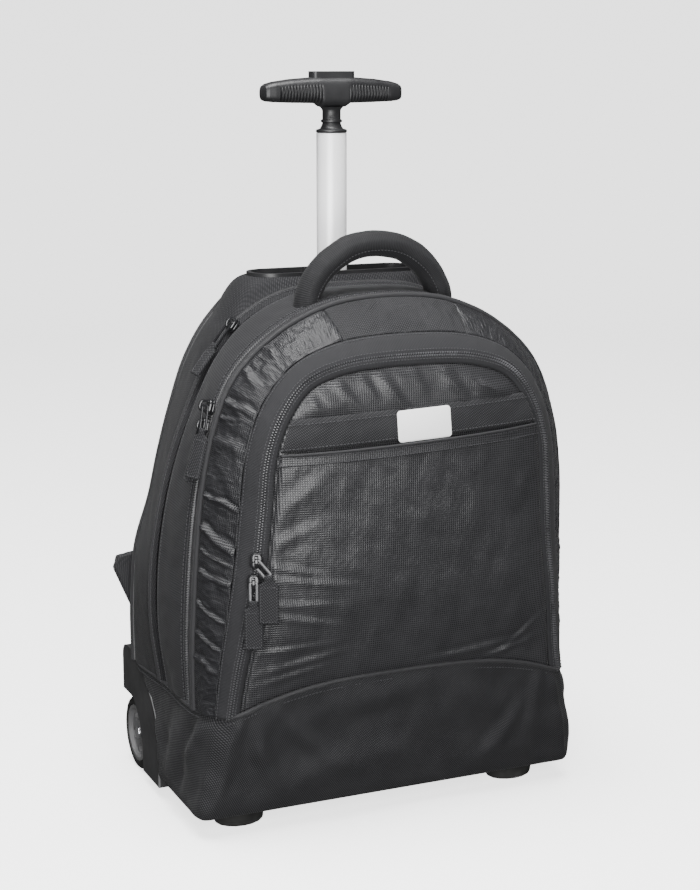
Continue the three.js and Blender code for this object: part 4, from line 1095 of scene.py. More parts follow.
def face_edge():
    inset = POCKET_TAPE_FACE + 0.2
    s = even_stations(ARCHES["pocket"], 200)
    over = arch("pocket", s) + inward("pocket", s) * inset
    reach = over[-1, 0]
    x = np.linspace(reach, -reach, 62)[1:-1]
    across = np.column_stack([x, 0 * x, 0 * x])
    return seated(np.vstack([over, across]))


def pocket_face():
    edge = face_edge()
    middle = np.array([0, 0, BOOT_TOP + 0.47 * POCKET_HEIGHT])
    shares = np.concatenate([np.linspace(0.04, 0.93, 34), [0.955, 0.975, 0.99, 1.0]])
    flat = middle + (edge[None] - middle) * shares[:, None, None]
    x, z = flat[..., 0], flat[..., 2]
    rim = (1 - shares)[:, None] * 120
    relief = creases(x, z, FACE_CREASES) + ripple(x, z, 61, 80, 1.0) + ripple(x, z, 62, 26, 0.4)
    relief = relief * smooth(rim / 9) * smooth((z - 330) / 20)
    relief = relief + 2.4 * smooth(rim / 14) * smooth((z - 355) / 14) - 1.4 * np.exp(-((rim / 2.2) ** 2))
    grid = flat.copy()
    grid[..., 1] = face_y(x, z) - relief
    builder = Builder()
    coords = np.stack([x, z], -1)
    builder.add(grid, grid_faces(*grid.shape[:2], True) + [tuple(range(grid.shape[1]))], coords)
    shape = mesh_object("pocket_face_cloth", faces_out(builder), LOOKS["ripstop"], wall=CLOTH)
    labelled(shape, ["pocket_panel"], "ripstop")


def face_reach(z):
    return pocket_half_width(z) - POCKET_TAPE_FACE - 1.0


def face_grid(low, high, lift, columns, rows):
    """A grid on the pocket's face between two heights, standing out by lift(x, z, across, up)."""
    across = np.linspace(-1, 1, columns)[:, None]
    up = np.linspace(0, 1, rows)[None]
    x = across * face_reach((low(0.0) + high(0.0)) / 2)
    z = low(x) + (high(x) - low(x)) * up
    x = across * face_reach(z)
    z = low(x) + (high(x) - low(x)) * up
    y = face_y(x, z) - lift(x, z, across + 0 * z, up + 0 * z)
    return np.stack([x, y, z], -1), np.stack([x, z], -1)


def band_edge(z):
    return lambda x: z + BAND_SLOPE * x


def slip_lift(x, z):
    height = np.clip((z - BOOT_TOP) / (BAND_LOW_Z - BOOT_TOP), 0, 1)
    side = np.clip(1 - (x / face_reach(z)) ** 2, 0, 1)
    return LAYER_GAP + SLIP_GAP * smooth(height) * side


def slip_pocket():
    low = lambda x: rim_height(x) + CLEARANCE + 0.4

    def lift(x, z, across, up):
        fade = smooth((1 - np.abs(across)) / 0.04) * smooth(up / 0.05) * smooth((1 - up) / 0.06)
        relief = creases(x, z, SLIP_CREASES) + ripple(x, z, 71, 130, 1.2) + ripple(x, z, 72, 34, 0.35)
        seam = 1.6 * np.exp(-(((1 - np.abs(across)) / 0.018) ** 2)) + 1.2 * np.exp(-((up / 0.02) ** 2))
        return slip_lift(x, z) + relief * fade - seam

    mouth = band_edge(BAND_LOW_Z - 2)
    grid, coords = face_grid(low, mouth, lift, 150, 110)
    sheet_piece("slip_pocket_cloth", grid, coords, LOOKS["ripstop"], ["slip_pocket"], "ripstop", wall=0.9)

    # The folded hem along the mouth, with its rolled edge and stitches.
    hem_low = band_edge(BAND_LOW_Z - 11)
    hem = lambda x, z, across, up: slip_lift(x, z) + 0.9 + 0.7 * up**6
    grid, coords = face_grid(hem_low, mouth, hem, 120, 10)
    sheet_piece("slip_pocket_hem", grid, coords, LOOKS["ripstop"], slot="ripstop", wall=1.0)
    cord("slip_pocket_edge", [grid[:, -1] + [0, 0.3, 0.2]], [0, -1, 0], 1.15, 8)
    thread("slip_pocket_stitches", "ripstop",
           *((grid[:, row] + [0, -0.1, 0], [0, -1, 0], 2.8, 1.9, 0.34) for row in (1, 7)))


def pocket_band():
    def lift(x, z, across, up):
        roll = 1.0 * np.exp(-((up / 0.06) ** 2)) + 1.0 * np.exp(-(((1 - up) / 0.06) ** 2))
        puff = 0.9 * np.sin(math.pi * up) + ripple(x, z, 83, 60, 0.6) * np.sin(math.pi * up)
        return LAYER_GAP + puff - roll

    grid, coords = face_grid(band_edge(BAND_LOW_Z), band_edge(BAND_HIGH_Z + 2), lift, 120, 20)
    sheet_piece("band_cloth", grid, coords, LOOKS["boot"], ["pocket_band"], "twill", wall=1.2)
    thread("band_stitches", "twill",
           *((grid[:, row] + [0, -0.15, 0], [0, -1, 0], 3.0, 2.1, 0.36) for row in (2, 16)))


def label():
    z0 = (BAND_LOW_Z + BAND_HIGH_Z) / 2
    low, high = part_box("label_plate")
    front = 1000 * low.y + SHIFT_Y
    tilt = math.atan2(float(face_y(LABEL_X, z0 + 9) - face_y(LABEL_X, z0 - 9)), 18)
    centre_y = front + 0.5 * (1000 * (high.y - low.y)) - 0.9

    def place(x, y, out):
        turned_x = x * math.cos(BAND_SLOPE) - y * math.sin(BAND_SLOPE)
        turned_z = x * math.sin(BAND_SLOPE) + y * math.cos(BAND_SLOPE)
        return np.column_stack([
            LABEL_X + turned_x,
            centre_y + turned_z * math.sin(tilt) - out * math.cos(tilt),
            z0 + turned_z * math.cos(tilt) + out * math.sin(tilt),
        ])

    builder = Builder()
    plate(builder, lambda inset: rounded_outline(*LABEL_SIZE, 3.0, inset), 0.0, 1.4, 0.45, place)
    shape = mesh_object("label", faces_out(builder, np.array([0, 0, z0])), LOOKS["plate"])
    labelled(shape, ["label_plate"], "plate")


# The boot


def boot_loops():
    def loop(x_key, y_key, half, front):
        right = []
        for row in BOOT_PLAN:
            depth = front if row[y_key] < 0 else BACK_Y
            right.append((row[x_key] * half, row[y_key] * depth, 0))
        left = [(-x, y, 0) for x, y, _ in right[-2:0:-1]]
        return np.array(right + left, float)

    return loop(0, 1, HALF_WIDTH, -POCKET_ZIP_Y), loop(2, 3, BOOT_BOTTOM_HALF, -BOOT_FRONT_BOTTOM_Y)


TOP_LOOP, BOTTOM_LOOP = boot_loops()


def boot_point(t, level, inset=0.0):
    """A point of the boot: t goes round it, level from 0 at the bottom to 1 at the rim."""
    t, level, inset = np.broadcast_arrays(
        np.asarray(t, float), np.asarray(level, float), np.asarray(inset, float))
    top, bottom = catmull(TOP_LOOP, t, True), catmull(BOTTOM_LOOP, t, True)
    rim = np.where(top[..., 1] < 0, rim_height(top[..., 0]), BOOT_TOP)
    z = FLOOR_GAP + (rim - FLOOR_GAP) * level
    share = ((z - FLOOR_GAP) / (BOOT_TOP - FLOOR_GAP))[..., None]
    p = bottom * (1 - share) + top * share
    step = 1e-4
    along = catmull(TOP_LOOP, (t + step) % 1, True) - catmull(TOP_LOOP, (t - step) % 1, True)
    inner = unit(np.stack([-along[..., 1], along[..., 0], 0 * z], -1))
    p = p + inner * inset[..., None]
    p[..., 2] = z
    return p


# Soft dents of the boot: x or y along the wall from the front's middle, height, direction,
# length, half width and height.
BOOT_DENTS = [
    (-156, 92, -66, 30, 8.0, -3.6),
    (-140, 76, -50, 44, 7.0, 3.4),
    (-116, 88, -38, 40, 8.0, -3.0),
    (-92, 78, -32, 52, 9.0, 2.6),
    (-60, 52, 12, 60, 16.0, 2.2),
    (-20, 100, 8, 50, 10.0, -1.6),
    (30, 74, -8, 70, 20.0, -2.0),
    (112, 62, 42, 42, 8.0, 3.2),
    (128, 74, 44, 40, 7.0, -2.6),
    (146, 92, 66, 24, 7.0, 2.4),
    (-200, 84, 62, 30, 7.0, 3.0),
    (-216, 58, 74, 30, 7.0, -2.6),
    (-240, 60, 80, 34, 9.0, 2.4),
    (205, 74, -60, 30, 8.0, 3.0),
    (240, 62, -78, 34, 9.0, -2.6),
]


def boot():
    t = even_stations_closed(BOTTOM_LOOP, 320)
    girth = np.interp(t, *closed_run(BOTTOM_LOOP))
    total = closed_run(BOTTOM_LOOP)[1][-1]
    girth = np.where(girth > total / 2, girth - total, girth)
    rounding = np.array([5.0, 3.0, 1.8, 0.8, 0.2, 0.0])
    low_levels = np.array([0.0, 0.008, 0.022, 0.045, 0.075, 0.11])
    levels = np.concatenate([low_levels, np.linspace(0.15, 0.97, 28), [0.985, 1.0]])
    insets = np.concatenate([rounding, np.zeros(28), [0.3, 1.2]])
    a = girth[:, None] + 0 * levels[None]
    base = boot_point(t[:, None], levels[None])
    z = base[..., 2]
    relief = 1.5 * creases(a, z, BOOT_DENTS) + ripple(a, z, 91, 150, 2.0) + ripple(a, z, 92, 45, 0.7)
    fade = smooth(levels / 0.25) * smooth((1 - levels) / 0.1)
    belly = 2.0 * np.sin(math.pi * levels)
    off_seam = np.abs(np.abs(a) - corner_run())
    seam = 2.6 * np.exp(-((off_seam / 1.8) ** 2)) - 1.6 * np.exp(-(((off_seam - 7) / 4) ** 2))
    inset = insets[None] - (relief * fade[None] + belly[None]) + seam * fade[None]
    grid = boot_point(t[:, None], levels[None], inset)
    floor = [boot_point(t, 0.0, 9.0)[:, None] * [[[k, k, 1]]] for k in (0.35, 0.7)]
    grid = np.concatenate([*floor, grid], 1)
    coords = np.stack([a, z], -1)
    flat = [np.stack([g[..., 0], g[..., 1]], -1) for g in floor]
    coords = np.concatenate([*flat, coords], 1)
    builder = Builder()
    rows, columns = grid.shape[:2]
    faces = grid_faces(columns, rows, True)
    order = grid.transpose(1, 0, 2)
    builder.add(order, faces + [tuple(range(rows))], coords.transpose(1, 0, 2))
    shape = mesh_object("boot_cloth", faces_out(builder, np.array([0, 0, 70.0])), LOOKS["boot"], wall=CLOTH)
    cut_for_wheels(shape, settled(order.reshape(-1, 3)), coords.transpose(1, 0, 2).reshape(-1, 2))
    labelled(shape, ["base_boot"], "twill")

    # Corded piping along the rim.
    rim = boot_point(t, 1.0, 0.6)
    cord("boot_piping", [np.vstack([rim, rim[:1]])], [0, 0, 1], 2.0, 9)
    thread("boot_stitches", "twill", (boot_point(t, 0.945, -0.1), outward_loop(t), 3.2, 2.2, 0.36))


def outward_loop(t):
    step = 1e-4
    along = catmull(TOP_LOOP, (t + step) % 1, True) - catmull(TOP_LOOP, (t - step) % 1, True)
    return unit(np.stack([along[..., 1], -along[..., 0], 0 * t], -1))


def corner_run():
    """How far along the boot's bottom the seam at its front corner lies from the middle."""
    t, run = closed_run(BOTTOM_LOOP)
    return float(np.interp(3.1 / 20, t, run))


def closed_run(points):
    t = np.linspace(0, 1, 2001)
    return t, run_length(catmull(points, t % 1, True))


def even_stations_closed(points, count):
    t, run = closed_run(points)
    return np.interp(np.linspace(0, run[-1], count, endpoint=False), run, t)


def housing_outline(grow):
    """The wheel housing's outline from the side (y, z), with the wheel's well filled."""
    front = BACK_Y - 68
    return np.array([
        (front + 4 - grow, -5),
        (front + 4 - grow, 10),
        (front - grow, 56),
        (front + 20 - grow, 88 + grow),
        (BACK_Y - 8, BOOT_TOP - 0.6 + grow),
        (BACK_Y + 1, BOOT_TOP - 0.6 + grow),
        (BACK_Y + 3, BOOT_TOP + 4 + grow),
        (AXLE_Y + 40, BOOT_TOP + 4 + grow),
        (AXLE_Y + 40, -5),
    ])


def cut_out(shape, cutters):
    """Cuts the cutters' shapes out of a piece and removes them."""
    for cutter in cutters:
        cut = shape.modifiers.new("cut", "BOOLEAN")
        cut.operation = "DIFFERENCE"
        cut.solver = "EXACT"
        cut.object = cutter
    bpy.context.view_layer.update()
    done = bpy.data.meshes.new_from_object(shape.evaluated_get(bpy.context.evaluated_depsgraph_get()))
    shape.modifiers.clear()
    shape.data = done
    for cutter in cutters:
        bpy.data.objects.remove(cutter)


def cut_for_wheels(shape, points, coords):
    """Cuts the wheel housings' places out of the boot, and gives the new points their coordinates."""
    outline = housing_outline(0.6)
    cutters = []
    for side in (-1, 1):
        builder = Builder()
        rings = [np.column_stack([np.full(len(outline), side * x), outline])
                 for x in (HOUSING_INNER_X - 0.5, 215)]
        builder.rings(rings)
        centre = np.array([side * 165, BACK_Y - 10, 55.0])
        cutters.append(mesh_object("cutter", faces_out(builder, centre), LOOKS["boot"], sewn=False))
    cut_out(shape, cutters)
    done = shape.data
    nearest = KDTree(len(points))
    metres = (points - np.array([0.0, SHIFT_Y, 0.0])) / 1000
    for i, p in enumerate(metres):
        nearest.insert(p, i)
    nearest.balance()
    values = np.zeros((len(done.vertices), 3), np.float32)
    for i, vertex in enumerate(done.vertices):
        index = nearest.find(vertex.co)[1]
        offset = 1000 * np.array(vertex.co) - 1000 * metres[index]
        along = offset[0] if abs(points[index][1]) > 70 else offset[1]
        values[i, :2] = coords[index] + [along, offset[2]]
    if "cloth" in done.attributes:
        done.attributes.remove(done.attributes["cloth"])
    done.attributes.new("cloth", "FLOAT_VECTOR", "POINT").data.foreach_set("vector", values.ravel())


# Back and straps


def back_panel():
    """The padded back, with a channel down the middle and two across."""
    s = even_stations(ARCHES["back"], 220)
    edge = arch("back", s)
    reach = edge[-1, 0]
    x = np.linspace(reach, -reach, 62)[1:-1]
    edge = np.vstack([edge, np.column_stack([x, 0 * x + BACK_Y, 0 * x + BOOT_TOP])])
    middle = np.array([0, BACK_Y, BOOT_TOP + 0.45 * UPPER_HEIGHT])
    shares = np.concatenate([np.linspace(0.03, 0.9, 36), [0.93, 0.955, 0.975, 0.99, 1.0]])
    flat = middle + (edge[None] - middle) * shares[:, None, None]
    px, pz = flat[..., 0], flat[..., 2]
    pads = 1 - 0.85 * np.exp(-((px / 9) ** 2)) - 0.7 * np.exp(-(((pz - 200) / 5) ** 2))
    pads = np.clip(pads - 0.7 * np.exp(-(((pz - 330) / 5) ** 2)), 0, 1)
    rim = (1 - shares)[:, None] * 150
    lift = 3.2 * pads * smooth(rim / 18) - 7.5 * (1 - smooth(rim / 5))
    grid = flat.copy()
    grid[..., 1] = BACK_Y - 1.5 + lift
    builder = Builder()
    coords = np.stack([px, pz], -1)
    builder.add(grid, grid_faces(*grid.shape[:2], True) + [tuple(range(grid.shape[1]))], coords)
    faces_out(builder, np.array([0, 0, 280.0]))
    shape = mesh_object("back_padding", builder, LOOKS["mesh"], wall=3.0)
    labelled(shape, ["back_panel"], "twill")
    path = np.vstack([edge, edge[:1]]) + [0, -BACK_PADDING + 1.5, 0]
    cord("back_piping", [path], [0, 1, 0], 2.2, 8, centre=middle)


# The padded strap's middle line on the back: shares of the half width and of the height above
# the boot, and the share of the full width.
STRAP_LINE = [
    (0.2, 0.93, 0.8),
    (0.24, 0.84, 0.95),
    (0.32, 0.72, 1.0),
    (0.39, 0.6, 1.0),
    (0.44, 0.48, 0.95),
    (0.47, 0.39, 0.8),
    (0.49, 0.33, 0.55),
]
STRAP_WIDTH = 62.0
STRAP_THICKNESS = 12.0
WING_REACH = 195.0


def straps(side, name):
    line = np.array([(side * x * HALF_WIDTH, w * STRAP_WIDTH / 2, BOOT_TOP + z * UPPER_HEIGHT)
                     for x, z, w in STRAP_LINE])
    line = catmull(line, np.linspace(0, 1, 60))
    across = np.linspace(-1, 1, 17)
    start = BACK_Y + CLEARANCE + 0.4
    crown = (1 - across**4) ** 0.5
    ends = smooth(np.minimum(np.arange(60), 59 - np.arange(60)) / 4)[:, None]
    outer_y = start + 2.0 + (STRAP_THICKNESS - 2.6) * crown[None] * (0.3 + 0.7 * ends)
    x = line[:, :1] + across[None] * line[:, 1:2]
    z = line[:, 2:] + 0 * x
    outer = np.stack([x, outer_y, z], -1)
    inner = np.stack([x, np.full_like(x, start), z], -1)[:, ::-1]
    builder = Builder()
    coords = np.stack([x, z], -1)
    builder.rings(np.concatenate([outer, inner], 1), np.concatenate([coords, coords[:, ::-1]], 1))
    centre = line[30] * [1, 0, 1] + [0, start + 4, 0]
    pad = mesh_object("strap_pad_" + name, faces_out(builder, centre), LOOKS["mesh"], sewn=False)
    labelled(pad, ["shoulder_strap_" + name], "twill")
    edges = outer[:, [0, -1]].transpose(1, 0, 2).copy()
    edges[..., 1] = start + 2.4
    cord("strap_binding_" + name, edges, [0, 1, 0], 1.9, 8, centre=centre, sewn=False)
    webbing_and_wing(side, name, line[-1], start)


def webbing_and_wing(side, name, end, start):
    wing_top = BOOT_TOP + 0.31 * UPPER_HEIGHT
    wing_low = BOOT_TOP + 0.145 * UPPER_HEIGHT
    tip = side * WING_REACH
    web_end = np.array([side * (HALF_WIDTH - 36), 0, (wing_top + wing_low) / 2])
    web_start = np.array([end[0], 0, end[2] + 6])
    along = np.linspace(0, 1, 30)[:, None]
    path = web_start + (web_end - web_start) * along
    path[:, 1] = start + 1.4 + 2.5 * np.sin(math.pi * along[:, 0])
    builder = Builder()
    section = rounded_outline(25.0, 1.8, 0.8, corner=3)
    sweep(builder, path, [0, 1, 0], section)
    web = mesh_object("strap_webbing_cloth_" + name, faces_out(builder, path[15] - [0, 9, 0]),
                      LOOKS["webbing"], sewn=False)
    labelled(web, ["strap_webbing_" + name], "webbing")

    corners = [
        (side * (HALF_WIDTH - 37), wing_low),
        (side * (HALF_WIDTH - 37), wing_top - 4),
        (tip - side * 3, wing_top - 10),
        (tip, wing_top - 20),
        (side * (HALF_WIDTH - 7), wing_low),
    ]
    inner_edge = np.array([corners[0], corners[1]])
    outer_edge = np.array([corners[4], corners[3], corners[2]])
    up = np.linspace(0, 1, 24)
    first = np.column_stack([np.interp(up, [0, 1], inner_edge[:, k]) for k in (0, 1)])
    last = np.column_stack([np.interp(up, [0, 0.72, 1], outer_edge[:, k]) for k in (0, 1)])
    across = np.linspace(0, 1, 20)
    flat = first[:, None] + (last - first)[:, None] * across[None, :, None]
    ribs = 0.5 * np.sin((flat[..., 0] * side * 0.8 + flat[..., 1]) * 2 * math.pi / 5.5)
    y = start + 2.2 + ribs + 1.2 * np.sin(math.pi * across)[None]
    grid = np.stack([flat[..., 0], y, flat[..., 1]], -1)
    sheet_piece("strap_wing_cloth_" + name, grid, flat, LOOKS["webbing"], ["strap_wing_" + name], "webbing",
                wall=2.6, centre=np.array([side * 160, 0.0, 190.0]), sewn=False)
    rim = np.vstack([grid[0], grid[:, -1], grid[-1, ::-1]])
    rim = rim[np.r_[True, np.linalg.norm(np.diff(rim, axis=0), axis=1) > 0.01]]
    cord("strap_wing_edge_" + name, [rim + [0, 0.1, 0]], [0, 1, 0], 1.2, 7, slot="webbing",
         centre=grid.mean((0, 1)), sewn=False)


# The carry handle


def carry_handle():
    foot = BAG_HEIGHT - 15
    top = BAG_HEIGHT + CARRY_RISE - CARRY_SECTION[1] / 2
    shape = [(-1.0, -0.12), (-1.0, 0.0), (-0.97, 0.28), (-0.75, 0.66), (-0.38, 0.93), (0.0, 1.0),
             (0.38, 0.93), (0.75, 0.66), (0.97, 0.28), (1.0, 0.0), (1.0, -0.12)]
    knots = [(x * CARRY_SPAN / 2, CARRY_Y, foot + z * (top - foot)) for x, z in shape]
    path = catmull(knots, even_stations(np.array(knots), 110))
    tangent = unit(np.gradient(path, axis=0))
    out = unit(np.cross(tangent, [0, 1.0, 0]))
    out = out * np.sign(out[55, 2])
    angle = np.linspace(0, 2 * math.pi, 28, endpoint=False)
    along = run_length(path)
    ends = np.minimum(along, along[-1] - along)
    size = 1 + 0.05 * np.exp(-((ends / 16) ** 2))
    seam = np.exp(-(((angle - 2.5) / 0.09) ** 2)) + np.exp(-(((angle - (2 * math.pi - 2.5)) / 0.09) ** 2))
    a = along[:, None] + 0 * angle[None]
    relief = ripple(a, angle[None] * 11, 101, 40, 0.35) - 0.9 * seam[None]
    radius_side = CARRY_SECTION[0] / 2 * size[:, None] + relief
    radius_out = CARRY_SECTION[1] / 2 * size[:, None] + relief
    grid = (
        path[:, None]
        + (radius_side * np.cos(angle))[..., None] * np.array([0, 1.0, 0])
        + (radius_out * np.sin(angle))[..., None] * out[:, None]
    )
    builder = Builder()
    coords = np.stack([a, angle[None] * 11 + 0 * a], -1)
    builder.rings(grid, coords)
    padded = mesh_object("carry_handle_cloth", faces_out(builder, path.mean(0)), LOOKS["handle"])
    labelled(padded, ["carry_handle"], "webbing")
    column = int(np.argmin(np.abs(angle - (2 * math.pi - 2.5)))) - 1
    row = grid[6:-6, column]
    thread("carry_handle_stitches", "webbing", (row, unit(row - path[6:-6]), 3.0, 2.0, 0.34))


# Hard parts


def lathe(builder, profile, centre, axis="z", side=1, squash=1.0, segments=64):
    """A turned body from (radius, height) pairs."""
    angle = np.linspace(0, 2 * math.pi, segments, endpoint=False)
    rings = []
    for radius, height in profile:
        a, b = radius * np.cos(angle), radius * np.sin(angle)
        h = np.full(segments, float(height))
        ring = np.column_stack([a, b * squash, h] if axis == "z" else [side * h, a, b])
        rings.append(ring + centre)
    builder.rings(rings)


def finished(name, look, bevel=0.8, segments=2, angle=28.0):
    """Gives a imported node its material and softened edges."""
    shape = nodes[name]
    shape.data.materials.clear()
    shape.data.materials.append(look)
    shape.data.polygons.foreach_set("use_smooth", [True] * len(shape.data.polygons))
    weld = shape.modifiers.new("weld", "WELD")
    weld.merge_threshold = 2e-5
    if bevel:
        edges = shape.modifiers.new("edges", "BEVEL")
        edges.width = bevel / 1000
        edges.segments = segments
        edges.limit_method = "ANGLE"
        edges.angle_limit = math.radians(angle)
        edges.use_clamp_overlap = True
    shading = shape.modifiers.new("shading", "WEIGHTED_NORMAL")
    shading.keep_sharp = False


def sliding_handle():
    low, high = (1000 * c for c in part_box("handle_tube"))
    sides = np.linspace(0, 2 * math.pi, 64, endpoint=False)
    outer = np.column_stack([np.cos(sides) * TUBE_SIZE[0] / 2, np.sin(sides) * TUBE_SIZE[1] / 2])
    wall = np.array([1 - 2 * TUBE_WALL / size for size in TUBE_SIZE])
    rings = []
    for scale, z in ((wall, low.z), (1, low.z), (1, low.z + 20), (1, (low.z + high.z) / 2),
                     (1, high.z - 0.5), (0.985, high.z), (wall, high.z)):
        flat = outer * scale
        rings.append(np.column_stack([flat[:, 0], flat[:, 1] + TUBE_Y, np.full(len(sides), z)]))
    builder = Builder()
    builder.closed_rings(np.array(rings))
    axis = np.array([0, TUBE_Y, (low.z + high.z) / 2])
    shape = mesh_object("tube", faces_out(builder, axis), LOOKS["tube"], "handle", smooth_angle=35)
    labelled(shape, ["handle_tube"], "tube")

    bottom = 1000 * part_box("handle_neck")[0].z
    collar = TUBE_SIZE[0] / 2 + 0.4
    profile = [(0.5, 0), (collar - 0.5, 0), (collar, 0.5), (collar, 2.0), (collar - 0.7, 2.6),
               (collar - 3.5, 3.4), (9.4, 5.0), (8.5, 7.0), (8.2, 8.4), (8.6, 8.6), (9.5, 9.2),
               (9.5, 10.6), (8.6, 11.2),
               (8.2, 11.5), (8.2, 18.5), (8.7, 20.0), (9.9, 21.4), (11.0, 22.2), (0.5, 22.2)]
    builder = Builder()
    squash = (TUBE_SIZE[1] + 0.8) / (TUBE_SIZE[0] + 0.8)
    lathe(builder, profile, np.array([0, TUBE_Y, bottom]), squash=squash, segments=56)
    faces_out(builder, np.array([0, TUBE_Y, bottom + 11]))
    neck = mesh_object("neck", builder, LOOKS["plastic"], "handle", smooth_angle=50)
    labelled(neck, ["handle_neck"], "plastic")
    grip()
    finished("release_button", LOOKS["plastic"], 1.0, 3)
    finished("handle_tray", LOOKS["plastic"], 1.0, 3)
    finished("handle_sleeve", LOOKS["plastic"], 0.3, 1)


# Shares of the T-grip from its middle to its end: along, top, bottom and depth.
GRIP_SECTIONS = [
    (0.0, 1.0, -0.02, 1.0),
    (0.17, 1.0, -0.02, 1.0),
    (0.2, 1.0, 0.03, 0.99),
    (0.24, 0.995, 0.1, 0.97),
    (0.3, 0.985, 0.105, 0.95),
    (0.6, 0.93, 0.12, 0.88),
    (0.85, 0.84, 0.145, 0.8),
    (0.94, 0.775, 0.17, 0.74),
    (0.98, 0.71, 0.21, 0.64),
    (1.0, 0.6, 0.3, 0.42),
]
GRIP_RIB_PITCH = 2.85


def grip():
    low, high = (1000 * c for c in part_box("t_grip"))
    table = np.array(GRIP_SECTIONS)
    x = np.concatenate([np.linspace(0, 0.92, 190), np.linspace(0.925, 1.0, 14)])
    x = np.concatenate([-x[:0:-1], x])
    top, bottom, depth = (np.interp(np.abs(x), table[:, 0], table[:, k]) for k in (1, 2, 3))
    angle = np.linspace(0, 2 * math.pi, 48, endpoint=False) + 0.02
    soften = lambda v: np.sign(v) * np.abs(v) ** 0.62
    cosine, sine = soften(np.cos(angle)), soften(np.sin(angle))
    x_mm = x * GRIP_LENGTH / 2
    half_depth = (depth * GRIP_DEPTH / 2)[:, None]
    lower, upper = low.z + bottom * GRIP_HEIGHT, low.z + top * GRIP_HEIGHT
    half_height = ((upper - lower) / 2)[:, None]
    # Ribs across the lower front and back, on both sides of the plain middle.
    wave = 0.5 + 0.5 * np.sin(2 * math.pi * x_mm / GRIP_RIB_PITCH)
    zone = smooth((np.abs(x_mm) - 12) / 2) * smooth((52 - np.abs(x_mm)) / 2)
    below = smooth((0.25 - np.sin(angle)) / 0.3)
    ribs = 1 - 0.17 * (smooth(wave * 1.5 - 0.35) * zone)[:, None] * below[None]
    y = TUBE_Y + half_depth * cosine[None] * ribs
    z = ((lower + upper) / 2)[:, None] + half_height * sine[None] * np.where(sine[None] < 0, ribs, 1.0)
    grid = np.stack([x_mm[:, None] + 0 * y, y, z], -1)
    builder = Builder()
    builder.rings(grid)
    shape = mesh_object("grip", faces_out(builder, np.array([0, TUBE_Y, (low.z + high.z) / 2])),
                        LOOKS["plastic"], "handle", smooth_angle=60)
    labelled(shape, ["t_grip"], "plastic")
    cut_button_slot(shape)


def cut_button_slot(shape):
    """The slot in the grip's top that the button moves in."""
    low, high = (1000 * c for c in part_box("release_button"))
    builder = Builder()
    outline = rounded_outline(high.x - low.x + 0.8, high.y - low.y + 0.8, 4.4)
    rings = [np.column_stack([outline[:, 0], outline[:, 1] + TUBE_Y, np.full(len(outline), z)])
             for z in (low.z - 4.2, high.z + 5)]
    builder.rings(rings)
    centre = np.array([0, TUBE_Y, low.z + 5])
    cut_out(shape, [mesh_object("cutter", faces_out(builder, centre), LOOKS["plastic"], "handle")])


def wheel(side, name):
    inner = WHEEL_OUTER_X - WHEEL_WIDTH
    centre = np.array([0, AXLE_Y, WHEEL_RADIUS])
    bore = HUB_RADIUS + CLEARANCE
    r, w = WHEEL_RADIUS, WHEEL_OUTER_X
    # One half of the tyre's section, from the bore round the edge to the second groove.
    section = [(bore, 0.6), (bore + 0.6, 0), (r - 4, 0), (r - 2, 0.8), (r - 0.6, 2.4), (r, 4.5),
               (r, 8.0), (r - 0.9, 8.4), (r - 0.9, 9.6), (r, 10)]
    profile = [(q, inner + h) for q, h in section] + [(q, w - h) for q, h in reversed(section)]
    angle = np.linspace(0, 2 * math.pi, TYRE_SEGMENTS, endpoint=False)
    rings = [np.column_stack([np.full(TYRE_SEGMENTS, side * h), q * np.cos(angle), q * np.sin(angle)])
             for q, h in profile]
    builder = Builder()
    builder.closed_rings(np.array(rings) + centre)
    shape = mesh_object("tyre_" + name + "_rubber", builder, LOOKS["rubber"], "wheel_" + name,
                        smooth_angle=35)
    centre_line = centre + [side * (inner + w) / 2, 0, 0]
    turn_tyre(shape, centre_line)
    labelled(shape, ["tyre_" + name], "tyre")
    finished("hub_" + name, LOOKS["hub"], 0.7, 3, 25)
    finished("axle_" + name, LOOKS["steel"], 0.4, 2)
    finished("wheel_housing_" + name, LOOKS["housing"], 2.4, 3)
    # A cord of the light hub plastic along the housing's edge: a painted highlight of that edge.
    path = [(side * (HOUSING_OUTER_X - 0.2), y, z) for y, z in FENDER_HIGHLIGHT_CORD]
    path = catmull(path, np.linspace(0, 1, 50))
    edge = Builder()
    sweep(edge, path, [side, 0, 0], circle(1.2, 10))
    lip = mesh_object("fender_highlight_cord_" + name, faces_out(edge, path.mean(0)), LOOKS["hub"], sewn=False)
    labelled(lip, slot="plastic")
    finished("foot_" + name, LOOKS["rubber"], 1.0, 2, 40)


def turn_tyre(shape, centre):
    """Makes a ring-shaped mesh face out: away from the circle through its middle."""
    mesh = shape.data
    middle = (centre - np.array([0, SHIFT_Y, 0])) / 1000
    score = 0.0
    for face in mesh.polygons:
        spoke = np.array(face.center) - middle
        spoke[0] = 0
        core = middle + unit(spoke) * (WHEEL_RADIUS + HUB_RADIUS) / 2000
        score += float(np.array(face.normal) @ (np.array(face.center) - core)) * face.area
    if score < 0:
        mesh.flip_normals()


# Zip pulls: zip, station, then the link's tilt, length and width, the tab's tilt, length and
# width, how far both are turned towards the front, in degrees, and how far the link stands off.
PULLS = {
    "rear_zip_pull": ("rear", 0.375, 0, 26, 7.5, 0, 32, 11, 20, 0),
    "main_zip_pull_upper": ("main", 0.3, 8, 22, 6.5, 2, 42, 13, 45, 3),
    "main_zip_pull_lower": ("main", 0.282, -8, 15, 5.5, -6, 38, 9, 10, 0),
    "pocket_zip_pull_upper": ("pocket", 0.178, 40, 18, 8, 0, 40, 16.5, 0, 2),
    "pocket_zip_pull_lower": ("pocket", 0.156, 0, 18, 8, 0, 40, 15.5, 0, 0),
}
PULL_HANG = 0.03
SLIDER_LIFT = 4.6


